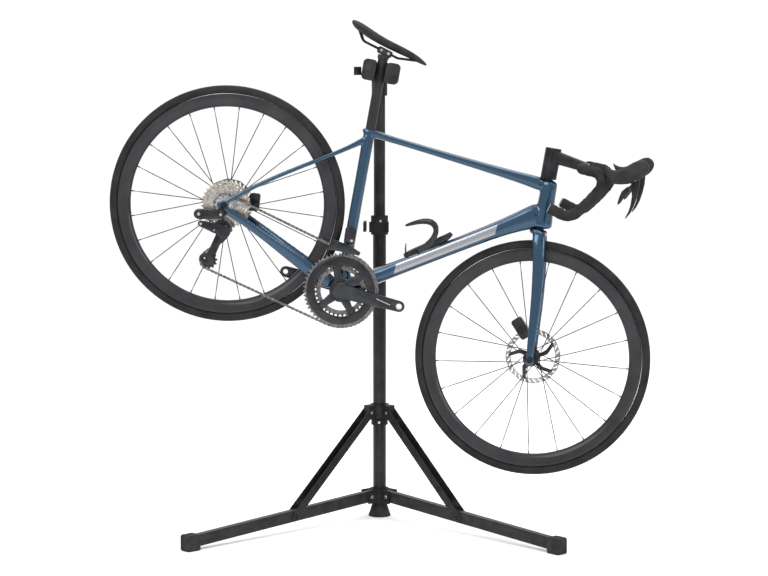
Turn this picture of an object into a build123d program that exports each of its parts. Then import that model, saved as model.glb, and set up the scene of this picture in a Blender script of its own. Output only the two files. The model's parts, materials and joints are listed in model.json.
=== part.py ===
"""A road bicycle hung by its seatpost in a two-legged folding repair stand, in millimetres.

World frame: the origin is the centre of the stand foot on the floor, +Z is up, the bicycle's
front points to +X and its drive side to -Y.  The bicycle is drawn level in its own frame (origin
at the bottom bracket centre, x forward, y to the left, z up) and then hung by one placement.
"""
import os
from math import asin, atan2, cos, degrees, hypot, pi, radians, sin, sqrt, tan

from build123d import *

os.makedirs("parts", exist_ok=True)

# ---- driving dimensions: the stand -------------------------------------------------
FOOT_RADIUS, FOOT_TOP_RADIUS, FOOT_HEIGHT = 33.5, 22.0, 37.0
FOOT_SOLE = 9.0                      # rubber left under the post
POST_RADIUS, POST_WALL = 19.5, 2.0
LOWER_POST_TOP = 880.0
MAST_RADIUS, MAST_WALL = 17.0, 2.0
MAST_BOTTOM = 560.0
CLAMP_HEIGHT = 1327.0                # clamp axis above the floor
CLAMP_REACH = 200.0                  # post axis to bicycle centre plane
LEG_ANGLE = 46.7                     # each leg, from straight forward
LEG_REACH = 722.0
LEG_DEPTH, LEG_WIDTH, LEG_WALL = 34.0, 25.0, 1.8
LEG_PIVOT_RADIUS, LEG_PIVOT_HEIGHT = 45.0, 64.0
LEG_END_HEIGHT = 24.0
CAP_LENGTH, CAP_WIDTH, CAP_HEIGHT = 46.0, 36.0, 46.0
BRACKET_HEIGHT = 40.0
BRACE_ON_LEG = 291.0                 # leg pivot to brace pivot
BRACE_COLLAR_HEIGHT = 318.0
BRACE_DEPTH, BRACE_WALL = 22.0, 3.0
PIN_RADIUS = 4.0
COLLAR_RADIUS = 28.0
JAW_LENGTH, JAW_HEIGHT, JAW_THICKNESS = 84.0, 60.0, 37.0
JAW_PAD = 7.0
SPINDLE_RADIUS, HEAD_RADIUS, HEAD_LENGTH = 17.0, 26.0, 68.0

# ---- driving dimensions: the bicycle -------------------------------------------------
TILT = 26.7                          # nose down from level
STEER_REST = -7.5                    # bars turned a little to the right
REAR_CENTRE, FRONT_CENTRE, AXLE_RISE = 403.5, 577.4, 70.5
TYRE_RADIUS, TYRE_SECTION = 339.0, 14.0
RIM_INNER, RIM_OUTER, RIM_HALF_WIDTH = 278.0, 313.0, 13.5
HEAD_ANGLE, FORK_RAKE = 73.0, 44.0
HEAD_BOTTOM, HEAD_TOP = 409.0, 548.0  # heights of the head tube ends
SEAT_ANGLE = 73.57
SEAT_TUBE_LENGTH, SEATPOST_TOP = 468.0, 674.0
SEATPOST_DEPTH, SEATPOST_WIDTH = 28.0, 22.0
FRONT_SPACING, REAR_SPACING = 100.0, 142.0
AXLE_RADIUS = 6.0
SHELL_WIDTH, SHELL_RADIUS = 86.5, 25.0
CRANK_LENGTH, CRANK_ANGLE = 172.5, 12.1
SPINDLE = 12.0                       # crank axle radius
PEDAL_THREAD = 7.1
CHAIN_PITCH = 12.7
RING_TEETH, INNER_TEETH = 52, 36
COGS = (11, 12, 13, 14, 15, 17, 19, 21, 24, 27, 30, 34)
DRIVEN_COG = 4
COG_SPACING, INNER_COG_Y = 3.6, -29.0
RING_Y, INNER_RING_Y = -46.0, -38.5
PULLEY_TEETH = 12
GUIDE_PULLEY, TENSION_PULLEY = (-380.0, 10.0), (-376.0, -92.0)
ROTOR_FRONT, ROTOR_REAR = 80.0, 70.0
FRONT_ROTOR_Y, REAR_ROTOR_Y = 39.0, 56.0
ROTOR_THICK = 1.8
FRONT_SPOKES, REAR_SPOKES = 21, 24
BAR_HALF_WIDTH, BAR_RADIUS, TAPE_RADIUS = 207.0, 11.5, 15.5
LEVER_Y = 203.0
GAP = 0.3                            # clearance between bodies
HOLE_GAP = 3.0                       # play of the open brace pivot

# ---- places worked out from them -----------------------------------------------------
REAR_AXLE = (-REAR_CENTRE, AXLE_RISE)
FRONT_AXLE = (FRONT_CENTRE, AXLE_RISE)
steer_dir = Vector(-cos(radians(HEAD_ANGLE)), 0, sin(radians(HEAD_ANGLE)))
steer_base = Vector(FRONT_AXLE[0] - FORK_RAKE * sin(radians(HEAD_ANGLE)), 0,
                    FRONT_AXLE[1] - FORK_RAKE * cos(radians(HEAD_ANGLE)))
seat_dir = Vector(-cos(radians(SEAT_ANGLE)), 0, sin(radians(SEAT_ANGLE)))
JAW_ON_POST = 632.0                  # bottom bracket to jaws, along the seat tube
JAW_OFFSET = 11.0                    # seatpost ahead of the clamp axis
grip = Location((0, 0, 0), (0, TILT, 0)) * Pos(seat_dir * JAW_ON_POST)
BB_X = JAW_OFFSET - grip.position.X
BB_Z = CLAMP_HEIGHT - grip.position.Z
HANG = Location((BB_X, -CLAMP_REACH, BB_Z), (0, TILT, 0))
GRIP_LEAN = TILT - (90 - SEAT_ANGLE)
STEER = Pos(steer_base) * Location(Plane((0, 0, 0), x_dir=(0, 1, 0), z_dir=steer_dir)) \
    * Rot(0, 0, STEER_REST) * Location(Plane((0, 0, 0), x_dir=(0, 1, 0), z_dir=steer_dir)).inverse() \
    * Pos(-steer_base)
TURNED = HANG * STEER
LEFT_LEG = Location((0, 0, 0), (0, 0, -90 - LEG_ANGLE))
RIGHT_LEG = Location((0, 0, 0), (0, 0, -90 + LEG_ANGLE))


def on_steerer(height):
    """The point of the steering axis at this height."""
    return steer_base + steer_dir * ((height - steer_base.Z) / steer_dir.Z)


def chain_radius(teeth):
    """Pitch radius of a sprocket."""
    return CHAIN_PITCH / (2 * sin(pi / teeth))


def cog_y(index):
    """Sideways place of a cassette cog, counted from the smallest."""
    return INNER_COG_Y - COG_SPACING * (len(COGS) - 1 - index)


def finish(piece, name, place=Location()):
    """Set a piece in its place, label it and write its STEP file."""
    piece.part = piece.part.moved(place)
    piece.part.label = name
    export_step(piece.part, f"parts/{name}.step")


def station(centre, direction):
    """A section plane with its x axis across the bicycle."""
    return Plane(centre, x_dir=(0, 1, 0), z_dir=direction)


def oval_tube(stations, wall=0.0, mode=Mode.ADD):
    """Loft ovals of (centre, direction, width, depth) into one tube."""
    ovals = []
    for centre, direction, width, depth in stations:
        with BuildSketch(station(centre, direction)) as oval:
            Ellipse(width / 2 - wall, depth / 2 - wall)
        ovals.append(oval.sketch)
    loft(ovals, mode=mode)


def side_plane(y):
    """The bicycle's side view as a sketch plane: x forward, y up, at this sideways place."""
    return Plane((0, y, 0), x_dir=(1, 0, 0), z_dir=(0, -1, 0))


def disc(centre, radius, y, thickness, mode=Mode.ADD):
    """A disc about an axle line, centred sideways on y."""
    with BuildSketch(side_plane(y + thickness / 2)) as face:
        with Locations(centre):
            Circle(radius)
    extrude(face.sketch, amount=thickness, mode=mode)


def ring_of_rods(count, phase, side, hub_radius, hub_y, twist, centre, rim_radius, rod=1.0):
    """Spokes from a hub flange to the rim, one straight rod each."""
    for index in range(count):
        rim_angle = radians(phase + 360 * index / count)
        flange, lean = side(index)
        hub_angle = rim_angle + radians(twist * lean)
        start = Vector(centre[0] + hub_radius * cos(hub_angle), hub_y[flange],
                       centre[1] + hub_radius * sin(hub_angle))
        end = Vector(centre[0] + rim_radius * cos(rim_angle), 0,
                     centre[1] + rim_radius * sin(rim_angle))
        with BuildSketch(Plane(start, z_dir=end - start)) as section:
            Circle(rod)
        extrude(section.sketch, amount=(end - start).length)


# ======================================================================================
# The stand
# ======================================================================================
with BuildPart() as post_foot:
    with BuildSketch(Plane.XY):
        Circle(FOOT_RADIUS)
    with BuildSketch(Plane.XY.offset(FOOT_HEIGHT)):
        Circle(FOOT_TOP_RADIUS)
    loft()
    with BuildSketch(Plane.XY.offset(FOOT_SOLE)):
        Circle(POST_RADIUS + GAP)
    extrude(amount=FOOT_HEIGHT, mode=Mode.SUBTRACT)
finish(post_foot, "post_foot")

with BuildPart() as lower_post:
    with BuildSketch(Plane.XY.offset(FOOT_SOLE)):
        Circle(POST_RADIUS)
        Circle(POST_RADIUS - POST_WALL, mode=Mode.SUBTRACT)
    extrude(amount=LOWER_POST_TOP - FOOT_SOLE)
finish(lower_post, "lower_post")

EAR_WALL = 5.0
EAR_SIDE = LEG_WIDTH / 2 + GAP + EAR_WALL / 2
with BuildPart() as leg_bracket:
    with BuildSketch(Plane.XY.offset(LEG_PIVOT_HEIGHT - BRACKET_HEIGHT / 2)):
        Circle(COLLAR_RADIUS)
        for turn in (-90 - LEG_ANGLE, -90 + LEG_ANGLE):
            with PolarLocations(LEG_PIVOT_RADIUS / 2 + 6, 1, turn):
                with Locations((0, EAR_SIDE), (0, -EAR_SIDE)):
                    Rectangle(LEG_PIVOT_RADIUS + 12, EAR_WALL)
        Circle(POST_RADIUS + 0.05, mode=Mode.SUBTRACT)
    extrude(amount=BRACKET_HEIGHT)
    for turn in (-90 - LEG_ANGLE, -90 + LEG_ANGLE):
        leg_plane = Plane(Location((0, 0, 0), (0, 0, turn)))
        across = Plane((0, 0, 0), x_dir=leg_plane.x_dir, z_dir=-leg_plane.y_dir)
        with BuildSketch(across.offset(-EAR_SIDE - EAR_WALL)):
            with Locations((LEG_PIVOT_RADIUS, LEG_PIVOT_HEIGHT)):
                Circle(PIN_RADIUS)
        extrude(amount=2 * (EAR_SIDE + EAR_WALL))
finish(leg_bracket, "leg_bracket")

LEG_SLOPE = degrees(atan2(LEG_PIVOT_HEIGHT - LEG_END_HEIGHT, LEG_REACH - LEG_PIVOT_RADIUS))
leg_start = Vector(LEG_PIVOT_RADIUS, 0, LEG_PIVOT_HEIGHT)
leg_dir = Vector(cos(radians(LEG_SLOPE)), 0, -sin(radians(LEG_SLOPE)))
LEG_HEEL = 13.0                      # tube behind its pivot
leg_length = (LEG_REACH - CAP_LENGTH / 4 - LEG_PIVOT_RADIUS) / leg_dir.X
brace_foot = leg_start + leg_dir * BRACE_ON_LEG

for side_name, leg_place in (("left", LEFT_LEG), ("right", RIGHT_LEG)):
    with BuildPart() as leg_tube:
        with BuildSketch(Plane(leg_start - leg_dir * LEG_HEEL, x_dir=(0, 1, 0), z_dir=leg_dir)):
            RectangleRounded(LEG_WIDTH, LEG_DEPTH, 4)
            RectangleRounded(LEG_WIDTH - 2 * LEG_WALL, LEG_DEPTH - 2 * LEG_WALL, 2.2, mode=Mode.SUBTRACT)
        extrude(amount=leg_length + LEG_HEEL)
        with BuildSketch(Plane.XZ.offset(LEG_WIDTH)):
            with Locations((leg_start.X, leg_start.Z)):
                Circle(PIN_RADIUS + GAP)
        extrude(amount=-2 * LEG_WIDTH, mode=Mode.SUBTRACT)
        with BuildSketch(Plane.XZ.offset(LEG_WIDTH / 2 + GAP + BRACE_WALL)):
            with Locations((brace_foot.X, brace_foot.Z)):
                Circle(PIN_RADIUS)
        extrude(amount=-(LEG_WIDTH + 2 * GAP + 2 * BRACE_WALL))
    finish(leg_tube, f"leg_tube_{side_name}", leg_place)

    with BuildPart() as leg_cap:
        with BuildSketch(Plane.XZ.offset(-CAP_WIDTH / 2)):
            with Locations((LEG_REACH - CAP_LENGTH / 2, CAP_HEIGHT / 2)):
                RectangleRounded(CAP_LENGTH, CAP_HEIGHT, 7)
        extrude(amount=CAP_WIDTH)
        with BuildSketch(Plane(leg_start, x_dir=(0, 1, 0), z_dir=leg_dir)):
            RectangleRounded(LEG_WIDTH + 0.1, LEG_DEPTH + 0.1, 4)
        extrude(amount=leg_length + 0.05, mode=Mode.SUBTRACT)
        chamfer(leg_cap.faces().sort_by(Axis.X)[-1].edges(), 2)
    finish(leg_cap, f"leg_cap_{side_name}", leg_place)

    collar_pin = Vector(LEG_PIVOT_RADIUS, 0, BRACE_COLLAR_HEIGHT)
    brace_dir = (brace_foot - collar_pin).normalized()
    brace_length = (brace_foot - collar_pin).length
    brace_outer = LEG_WIDTH / 2 + GAP + BRACE_WALL
    with BuildPart() as brace:
        with BuildSketch(Plane(collar_pin, x_dir=(0, 1, 0), z_dir=brace_dir).offset(-BRACE_DEPTH / 2)):
            Rectangle(2 * brace_outer, BRACE_DEPTH)
            Rectangle(2 * (brace_outer - BRACE_WALL), BRACE_DEPTH, mode=Mode.SUBTRACT)
        extrude(amount=brace_length + BRACE_DEPTH)
        with BuildSketch(Plane(collar_pin, x_dir=(0, 1, 0), z_dir=brace_dir).offset(34)):
            with Locations((0, -BRACE_DEPTH / 2 + BRACE_WALL / 2)):
                Rectangle(2 * brace_outer, BRACE_WALL)
        extrude(amount=brace_length - 34 - 62)
        for pin, play in ((collar_pin, GAP), (brace_foot, HOLE_GAP)):
            with BuildSketch(Plane.XZ.offset(LEG_WIDTH)):
                with Locations((pin.X, pin.Z)):
                    Circle(PIN_RADIUS + play)
            extrude(amount=-2 * LEG_WIDTH, mode=Mode.SUBTRACT)
    finish(brace, f"brace_{side_name}", leg_place)

with BuildPart() as brace_collar:
    collar_half = 21.0
    with BuildSketch(Plane.XY.offset(BRACE_COLLAR_HEIGHT - collar_half)):
        Circle(COLLAR_RADIUS)
        for turn in (-90 - LEG_ANGLE, -90 + LEG_ANGLE):
            with PolarLocations(LEG_PIVOT_RADIUS / 2 + 3, 1, turn):
                Rectangle(LEG_PIVOT_RADIUS + 6, LEG_WIDTH)
        Circle(POST_RADIUS + GAP, mode=Mode.SUBTRACT)
    extrude(amount=2 * collar_half)
    for turn in (-90 - LEG_ANGLE, -90 + LEG_ANGLE):
        ear = Location((0, 0, 0), (0, 0, turn))
        across = Plane((0, 0, 0), x_dir=Plane(ear).x_dir, z_dir=-Plane(ear).y_dir)
        with BuildSketch(across.offset(-LEG_WIDTH / 2 - GAP - BRACE_WALL)):
            with Locations((LEG_PIVOT_RADIUS, BRACE_COLLAR_HEIGHT)):
                Circle(PIN_RADIUS)
        extrude(amount=LEG_WIDTH + 2 * GAP + 2 * BRACE_WALL)
    with BuildSketch(Plane.XZ.offset(POST_RADIUS + 2)):
        with Locations((0, BRACE_COLLAR_HEIGHT - 30)):
            Circle(7)
    extrude(amount=12)
    with BuildSketch(Plane.XY.offset(BRACE_COLLAR_HEIGHT - collar_half - 20)):
        Circle(COLLAR_RADIUS - 3)
        Circle(POST_RADIUS + GAP, mode=Mode.SUBTRACT)
    extrude(amount=20)
finish(brace_collar, "brace_collar")

HEIGHT_COLLAR_BOTTOM, HEIGHT_COLLAR_TOP = 847.0, 903.0
LUG_REACH, LUG_WIDTH = 41.0, 16.0
with BuildPart() as height_collar:
    with BuildSketch(Plane.XY.offset(HEIGHT_COLLAR_BOTTOM)):
        Circle(POST_RADIUS + 6)
    extrude(amount=HEIGHT_COLLAR_TOP - HEIGHT_COLLAR_BOTTOM)
    with BuildSketch(Plane.XY.offset(HEIGHT_COLLAR_BOTTOM + 8)):
        with Locations((-LUG_REACH / 2 + 4, -15), (LUG_REACH / 2 - 6, -15)):
            Rectangle(LUG_REACH - 14, LUG_WIDTH)
    extrude(amount=30)
    with BuildSketch(Plane.XY.offset(HEIGHT_COLLAR_BOTTOM)):
        Circle(POST_RADIUS + 0.05)
    extrude(amount=LOWER_POST_TOP + 0.05 - HEIGHT_COLLAR_BOTTOM, mode=Mode.SUBTRACT)
    with BuildSketch(Plane.XY.offset(HEIGHT_COLLAR_BOTTOM)):
        Circle(MAST_RADIUS + GAP)
    extrude(amount=HEIGHT_COLLAR_TOP - HEIGHT_COLLAR_BOTTOM, mode=Mode.SUBTRACT)
finish(height_collar, "height_collar")

LEVER_PIVOT = (-LUG_REACH + 2, -15.0)
with BuildPart() as height_lever:
    with BuildSketch(Plane.XY.offset(HEIGHT_COLLAR_BOTTOM + 9)):
        with Locations((LEVER_PIVOT[0] - 2, LEVER_PIVOT[1])):
            Circle(7)
        with Locations((LEVER_PIVOT[0] - 5, LEVER_PIVOT[1] + 34)):
            RectangleRounded(8, 70, 3)
        with Locations((LEVER_PIVOT[0] + 12, LEVER_PIVOT[1])):
            Rectangle(24, 40, mode=Mode.SUBTRACT)
    extrude(amount=28)
finish(height_lever, "height_lever")

with BuildPart() as upper_post:
    with BuildSketch(Plane.XY.offset(MAST_BOTTOM)):
        Circle(MAST_RADIUS)
        Circle(MAST_RADIUS - MAST_WALL, mode=Mode.SUBTRACT)
    extrude(amount=CLAMP_HEIGHT - HEAD_RADIUS - MAST_BOTTOM)
finish(upper_post, "upper_post")

with BuildPart() as clamp_head:
    with BuildSketch(Plane.XZ.offset(-HEAD_LENGTH / 2)):
        with Locations((0, CLAMP_HEIGHT)):
            Circle(HEAD_RADIUS)
    extrude(amount=HEAD_LENGTH)
    with BuildSketch(Plane.XY.offset(CLAMP_HEIGHT - HEAD_RADIUS - 44)):
        Circle(MAST_RADIUS + 6)
    extrude(amount=44 + HEAD_RADIUS / 2)
    with BuildSketch(Plane.XY.offset(CLAMP_HEIGHT - HEAD_RADIUS - 44)):
        Circle(MAST_RADIUS + 0.05)
    extrude(amount=44.05, mode=Mode.SUBTRACT)
    with BuildSketch(Plane.XZ.offset(-HEAD_LENGTH / 2)):
        with Locations((0, CLAMP_HEIGHT)):
            Circle(SPINDLE_RADIUS + GAP)
    extrude(amount=HEAD_LENGTH, mode=Mode.SUBTRACT)
finish(clamp_head, "clamp_head")

KNOB_LOBES = 6
with BuildPart() as rotation_knob:
    with BuildSketch(Plane.XZ.offset(-HEAD_LENGTH / 2 - 14)):
        with Locations((0, CLAMP_HEIGHT)):
            Circle(24)
            with PolarLocations(22, KNOB_LOBES):
                Circle(7)
    extrude(amount=-22)
    with BuildSketch(Plane.XZ.offset(-HEAD_LENGTH / 2 - 9.5)):
        with Locations((0, CLAMP_HEIGHT)):
            Circle(14)
    extrude(amount=-6)
finish(rotation_knob, "rotation_knob")

# The jaws grip the seatpost fore and aft, so their inner faces lean with it.
JAW_FRONT = -CLAMP_REACH - JAW_LENGTH / 2
JAW_BACK = -CLAMP_REACH + JAW_LENGTH / 2
lean = Plane(Location((JAW_OFFSET, 0, CLAMP_HEIGHT), (0, GRIP_LEAN, 0)))
JAW_GAP = SEATPOST_DEPTH / 2 + GAP
jaw_view = Plane(lean.origin, x_dir=lean.x_dir, z_dir=(0, -1, 0))
ARM_HEIGHT = 40.0


def jaw_block(sign, inner, outer, height, front, back, corner):
    """A jaw layer between two distances from the seatpost, on one side of it."""
    with BuildSketch(jaw_view.offset(-back)) as layer:
        with Locations((sign * (inner + outer) / 2, 0)):
            RectangleRounded(outer - inner, height, corner)
    extrude(layer.sketch, amount=back - front)


with BuildPart() as clamp_body:
    with BuildSketch(Plane.XZ.offset(-HEAD_LENGTH / 2 - 8)):
        with Locations((0, CLAMP_HEIGHT)):
            Circle(SPINDLE_RADIUS)
    extrude(amount=HEAD_LENGTH / 2 + 8 + 110)
    with BuildSketch(Plane.XZ.offset(HEAD_LENGTH / 2 + 2)):
        with Locations((0, CLAMP_HEIGHT)):
            RectangleRounded(66, 52, 12)
    extrude(amount=72)
    jaw_block(-1, JAW_GAP + JAW_PAD + 0.05, JAW_GAP + JAW_PAD + 16, ARM_HEIGHT, JAW_FRONT + 8, -108, 5)
    with BuildSketch(Plane.XY.offset(CLAMP_HEIGHT - 60)):
        with Locations((JAW_OFFSET + 38, -95)):
            Rectangle(60, 60)
    extrude(amount=120, mode=Mode.SUBTRACT)
finish(clamp_body, "clamp_body")

with BuildPart() as jaw_pad_fixed:
    jaw_block(-1, JAW_GAP, JAW_GAP + JAW_THICKNESS, JAW_HEIGHT, JAW_FRONT, JAW_BACK, 13)
    with BuildSketch(jaw_view.offset(-JAW_BACK - 1)):
        with Locations((-(JAW_GAP + JAW_PAD + 8), 0)):
            RectangleRounded(16.1, ARM_HEIGHT + 0.1, 5)
    extrude(amount=JAW_LENGTH - 7, mode=Mode.SUBTRACT)
finish(jaw_pad_fixed, "jaw_pad_fixed")

with BuildPart() as moving_jaw:
    jaw_block(1, JAW_GAP + JAW_PAD + 0.05, JAW_GAP + JAW_PAD + 16, ARM_HEIGHT, JAW_FRONT + 8, -68, 5)
finish(moving_jaw, "moving_jaw")

with BuildPart() as jaw_pad_moving:
    jaw_block(1, JAW_GAP, JAW_GAP + JAW_THICKNESS + 2, JAW_HEIGHT, JAW_FRONT, JAW_BACK, 13)
    with BuildSketch(jaw_view.offset(-JAW_BACK - 1)):
        with Locations((JAW_GAP + JAW_PAD + 8, 0)):
            RectangleRounded(16.1, ARM_HEIGHT + 0.1, 5)
    extrude(amount=JAW_LENGTH - 7, mode=Mode.SUBTRACT)
finish(jaw_pad_moving, "jaw_pad_moving")

CAM_X, CAM_Y = -58.0, -131.0
with BuildPart() as jaw_lever:
    with BuildSketch(Plane.XY.offset(CLAMP_HEIGHT - 10)):
        with Locations((CAM_X, CAM_Y)):
            Circle(11)
        with Locations((CAM_X - 5, CAM_Y + 42)):
            RectangleRounded(11, 84, 5)
    extrude(amount=24)
finish(jaw_lever, "jaw_lever")

# ======================================================================================
# The bicycle: frame, post and saddle
# ======================================================================================
DROPOUT_Y = REAR_SPACING / 2
DROPOUT_THICK = 6.0
down_dir = (on_steerer(459) - Vector(0, 0, 0)).normalized()
down_end = on_steerer(456)
top_start = seat_dir * 452
top_end = on_steerer(524)
top_dir = (top_end - top_start).normalized()
stay_top = Vector(-130, 0, 404)
down_stations = [(down_dir * 12, down_dir, 54, 42), (down_dir * 180, down_dir, 50, 41),
                 (down_dir * 430, down_dir, 44, 43), (down_end, down_dir, 38, 52)]
seat_stations = [(seat_dir * 10, seat_dir, 44, 46), (seat_dir * 150, seat_dir, 30, 34),
                 (seat_dir * 340, seat_dir, 28, 33), (seat_dir * SEAT_TUBE_LENGTH, seat_dir, 32, 40)]
top_stations = [(top_start, top_dir, 26, 17), (top_start + top_dir * 210, top_dir, 36, 20),
                (top_start + top_dir * 440, top_dir, 38, 27), (top_end, top_dir, 34, 38)]
head_stations = [(on_steerer(HEAD_BOTTOM), steer_dir, 54, 54), (on_steerer(HEAD_BOTTOM + 50), steer_dir, 42, 46),
                 (on_steerer(HEAD_TOP), steer_dir, 46, 46)]


def rear_stays(side):
    """Seat stay and chain stay stations on one side (+1 left, -1 right)."""
    low = Vector(REAR_AXLE[0] + 4, side * (DROPOUT_Y + 4.6), REAR_AXLE[1] + 22)
    bend = Vector(-330, side * 58, 184)
    top = Vector(stay_top.X, side * 9, stay_top.Z)
    seat_stay = [(low, bend - low, 9, 14), (bend, top - low, 10, 13), (top, top - bend, 11, 12)]
    heel = Vector(REAR_AXLE[0] + 20, side * (DROPOUT_Y + 4.9), REAR_AXLE[1] - 6)
    elbow = Vector(-322, side * 63, 56)
    waist = Vector(-120, side * 26, 22)
    root = Vector(-10, side * 25, 2)
    chain_stay = [(heel, elbow - heel, 9, 24), (elbow, waist - heel, 13, 27),
                  (waist, root - waist, 13, 40), (root, root - waist, 20, 42)]
    return seat_stay, chain_stay


with BuildPart() as frame:
    oval_tube(down_stations)
    oval_tube(seat_stations)
    oval_tube(top_stations)
    oval_tube(head_stations)
    disc((0, 0), SHELL_RADIUS, 0, SHELL_WIDTH)
    for side in (1, -1):
        for stations in rear_stays(side):
            oval_tube(stations)
        with BuildSketch(side_plane(side * (DROPOUT_Y + DROPOUT_THICK / 2) + DROPOUT_THICK / 2)):
            with BuildLine():
                Polyline((REAR_AXLE[0] - 14, REAR_AXLE[1] + 2), (REAR_AXLE[0] - 6, REAR_AXLE[1] + 30),
                         (REAR_AXLE[0] + 14, REAR_AXLE[1] + 30), (REAR_AXLE[0] + 32, REAR_AXLE[1] + 8),
                         (REAR_AXLE[0] + 26, REAR_AXLE[1] - 16), (REAR_AXLE[0], REAR_AXLE[1] - 14),
                         close=True)
            make_face()
        extrude(amount=DROPOUT_THICK)
    oval_tube([(p, d, w, h) for p, d, w, h in down_stations[:3]], 2.2, Mode.SUBTRACT)
    oval_tube([(seat_dir * 60, seat_dir, 34, 38)] + seat_stations[1:3], 2.2, Mode.SUBTRACT)
    oval_tube([(top_start + top_dir * 40, top_dir, 28, 18)] + top_stations[1:3], 2.0, Mode.SUBTRACT)
    disc((0, 0), SPINDLE + 8, 0, SHELL_WIDTH, Mode.SUBTRACT)
    disc(REAR_AXLE, AXLE_RADIUS + 0.1, 0, REAR_SPACING + 40, Mode.SUBTRACT)
    with BuildSketch(station(on_steerer(HEAD_BOTTOM), steer_dir).offset(-10)):
        Circle(15.5)
    extrude(amount=180, mode=Mode.SUBTRACT)
    with BuildSketch(station(seat_dir * 300, seat_dir)):
        Ellipse(SEATPOST_WIDTH / 2 + 0.05, SEATPOST_DEPTH / 2 + 0.05)
    extrude(amount=200, mode=Mode.SUBTRACT)
    for height in (159.0, 223.0):
        boss = seat_dir * height
        with BuildSketch(Plane(boss, z_dir=(seat_dir.Z, 0, -seat_dir.X))):
            Circle(2.5)
        extrude(amount=40, mode=Mode.SUBTRACT)
finish(frame, "frame", HANG)

RAIL_Y, RAIL_RADIUS = 22.0, 3.5
RAIL_Z = (seat_dir * SEATPOST_TOP).Z + 15
RAIL_REAR, RAIL_NOSE = Vector(-290, 34, 690), Vector(-96, 9, 681)
with BuildPart() as seatpost:
    with BuildSketch(station(seat_dir * 330, seat_dir)):
        Ellipse(SEATPOST_WIDTH / 2, SEATPOST_DEPTH / 2)
        Ellipse(SEATPOST_WIDTH / 2 - 2.2, SEATPOST_DEPTH / 2 - 2.2, mode=Mode.SUBTRACT)
    extrude(amount=SEATPOST_TOP - 330)
    head = seat_dir * SEATPOST_TOP
    with BuildSketch(station(head, seat_dir).offset(-6)):
        RectangleRounded(32, 32, 8)
    extrude(amount=12)
    with BuildSketch(side_plane(RAIL_Y - 5)):
        with Locations((head.X - 2, RAIL_Z - 1)):
            RectangleRounded(44, 20, 6)
    extrude(amount=2 * RAIL_Y - 10)
    with BuildSketch(side_plane(RAIL_Y + 5)):
        with Locations((head.X - 2, RAIL_Z)):
            RectangleRounded(36, 13, 5)
    extrude(amount=2 * RAIL_Y + 10)
    for rail in (RAIL_Y, -RAIL_Y):
        with BuildSketch(Plane((head.X - 60, rail, RAIL_Z), x_dir=(0, 1, 0), z_dir=(1, 0, 0))):
            Circle(RAIL_RADIUS + 0.1)
        extrude(amount=140, mode=Mode.SUBTRACT)
finish(seatpost, "seatpost", HANG)

with BuildPart() as saddle_rails:
    for side in (1, -1):
        with BuildLine() as rail_line:
            FilletPolyline((RAIL_REAR.X, side * RAIL_REAR.Y, RAIL_REAR.Z), (-262, side * RAIL_Y, RAIL_Z),
                           (-152, side * RAIL_Y, RAIL_Z), (RAIL_NOSE.X, side * RAIL_NOSE.Y, RAIL_NOSE.Z), radius=18)
        with BuildSketch(Plane(rail_line.line @ 0, z_dir=rail_line.line % 0)):
            Circle(RAIL_RADIUS)
        sweep()
finish(saddle_rails, "saddle_rails", HANG)

SADDLE = (  # place, half width, under side, top side
    (-316, 40, 690, 703), (-296, 68, 680, 706), (-250, 70, 674, 701), (-212, 48, 672, 697),
    (-160, 25, 672, 697), (-110, 19, 677, 694), (-70, 16, 676, 684),
)
with BuildPart() as saddle_pad:
    for x, half, low, high in SADDLE:
        with BuildSketch(Plane((x, 0, (low + high) / 2), x_dir=(0, 1, 0), z_dir=(1, 0, 0))):
            RectangleRounded(2 * half, high - low, 0.42 * (high - low))
    loft(ruled=True)
    for side in (1, -1):
        for socket, bend in ((RAIL_REAR, Vector(-262, RAIL_Y, RAIL_Z)), (RAIL_NOSE, Vector(-152, RAIL_Y, RAIL_Z))):
            mouth = Vector(socket.X, side * socket.Y, socket.Z)
            run = Vector(bend.X, side * bend.Y, bend.Z) - mouth
            with BuildSketch(Plane(mouth, z_dir=run).offset(-0.3)):
                Circle(RAIL_RADIUS + 0.25)
            extrude(amount=40, mode=Mode.SUBTRACT)
finish(saddle_pad, "saddle_pad", HANG)

# ======================================================================================
# Fork, cockpit and controls: drawn straight ahead, then turned with the bars
# ======================================================================================
FORK_TIP_Y = FRONT_SPACING / 2
crown = on_steerer(HEAD_BOTTOM - 14)
with BuildPart() as fork:
    with BuildSketch(station(on_steerer(HEAD_BOTTOM - 1), steer_dir)):
        Circle(26)
    extrude(amount=-24)
    for side in (1, -1):
        shoulder = crown + Vector(4, side * 22, -8)
        knee = Vector(470, side * 39, 330)
        tip = Vector(FRONT_AXLE[0] - 4, side * (FORK_TIP_Y + 6), FRONT_AXLE[1] + 12)
        oval_tube([(shoulder, knee - shoulder, 26, 44), (knee, tip - shoulder, 15, 33),
                   (tip, tip - knee, 11, 24)])
        disc(FRONT_AXLE, 13, side * (FORK_TIP_Y + 5), 10)
    with BuildSketch(station(on_steerer(HEAD_BOTTOM - 3), steer_dir)):
        Circle(14.3)
    extrude(amount=(628 - HEAD_BOTTOM) / steer_dir.Z)
    disc(FRONT_AXLE, AXLE_RADIUS + 0.1, 0, FRONT_SPACING + 60, Mode.SUBTRACT)
    with BuildSketch(station(on_steerer(HEAD_BOTTOM - 60), steer_dir)):
        Circle(11.8)
    extrude(amount=300, mode=Mode.SUBTRACT)
finish(fork, "fork", TURNED)

BAR_TOP = Vector(465, 0, 626)
STEM_TOP = 634.0


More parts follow.
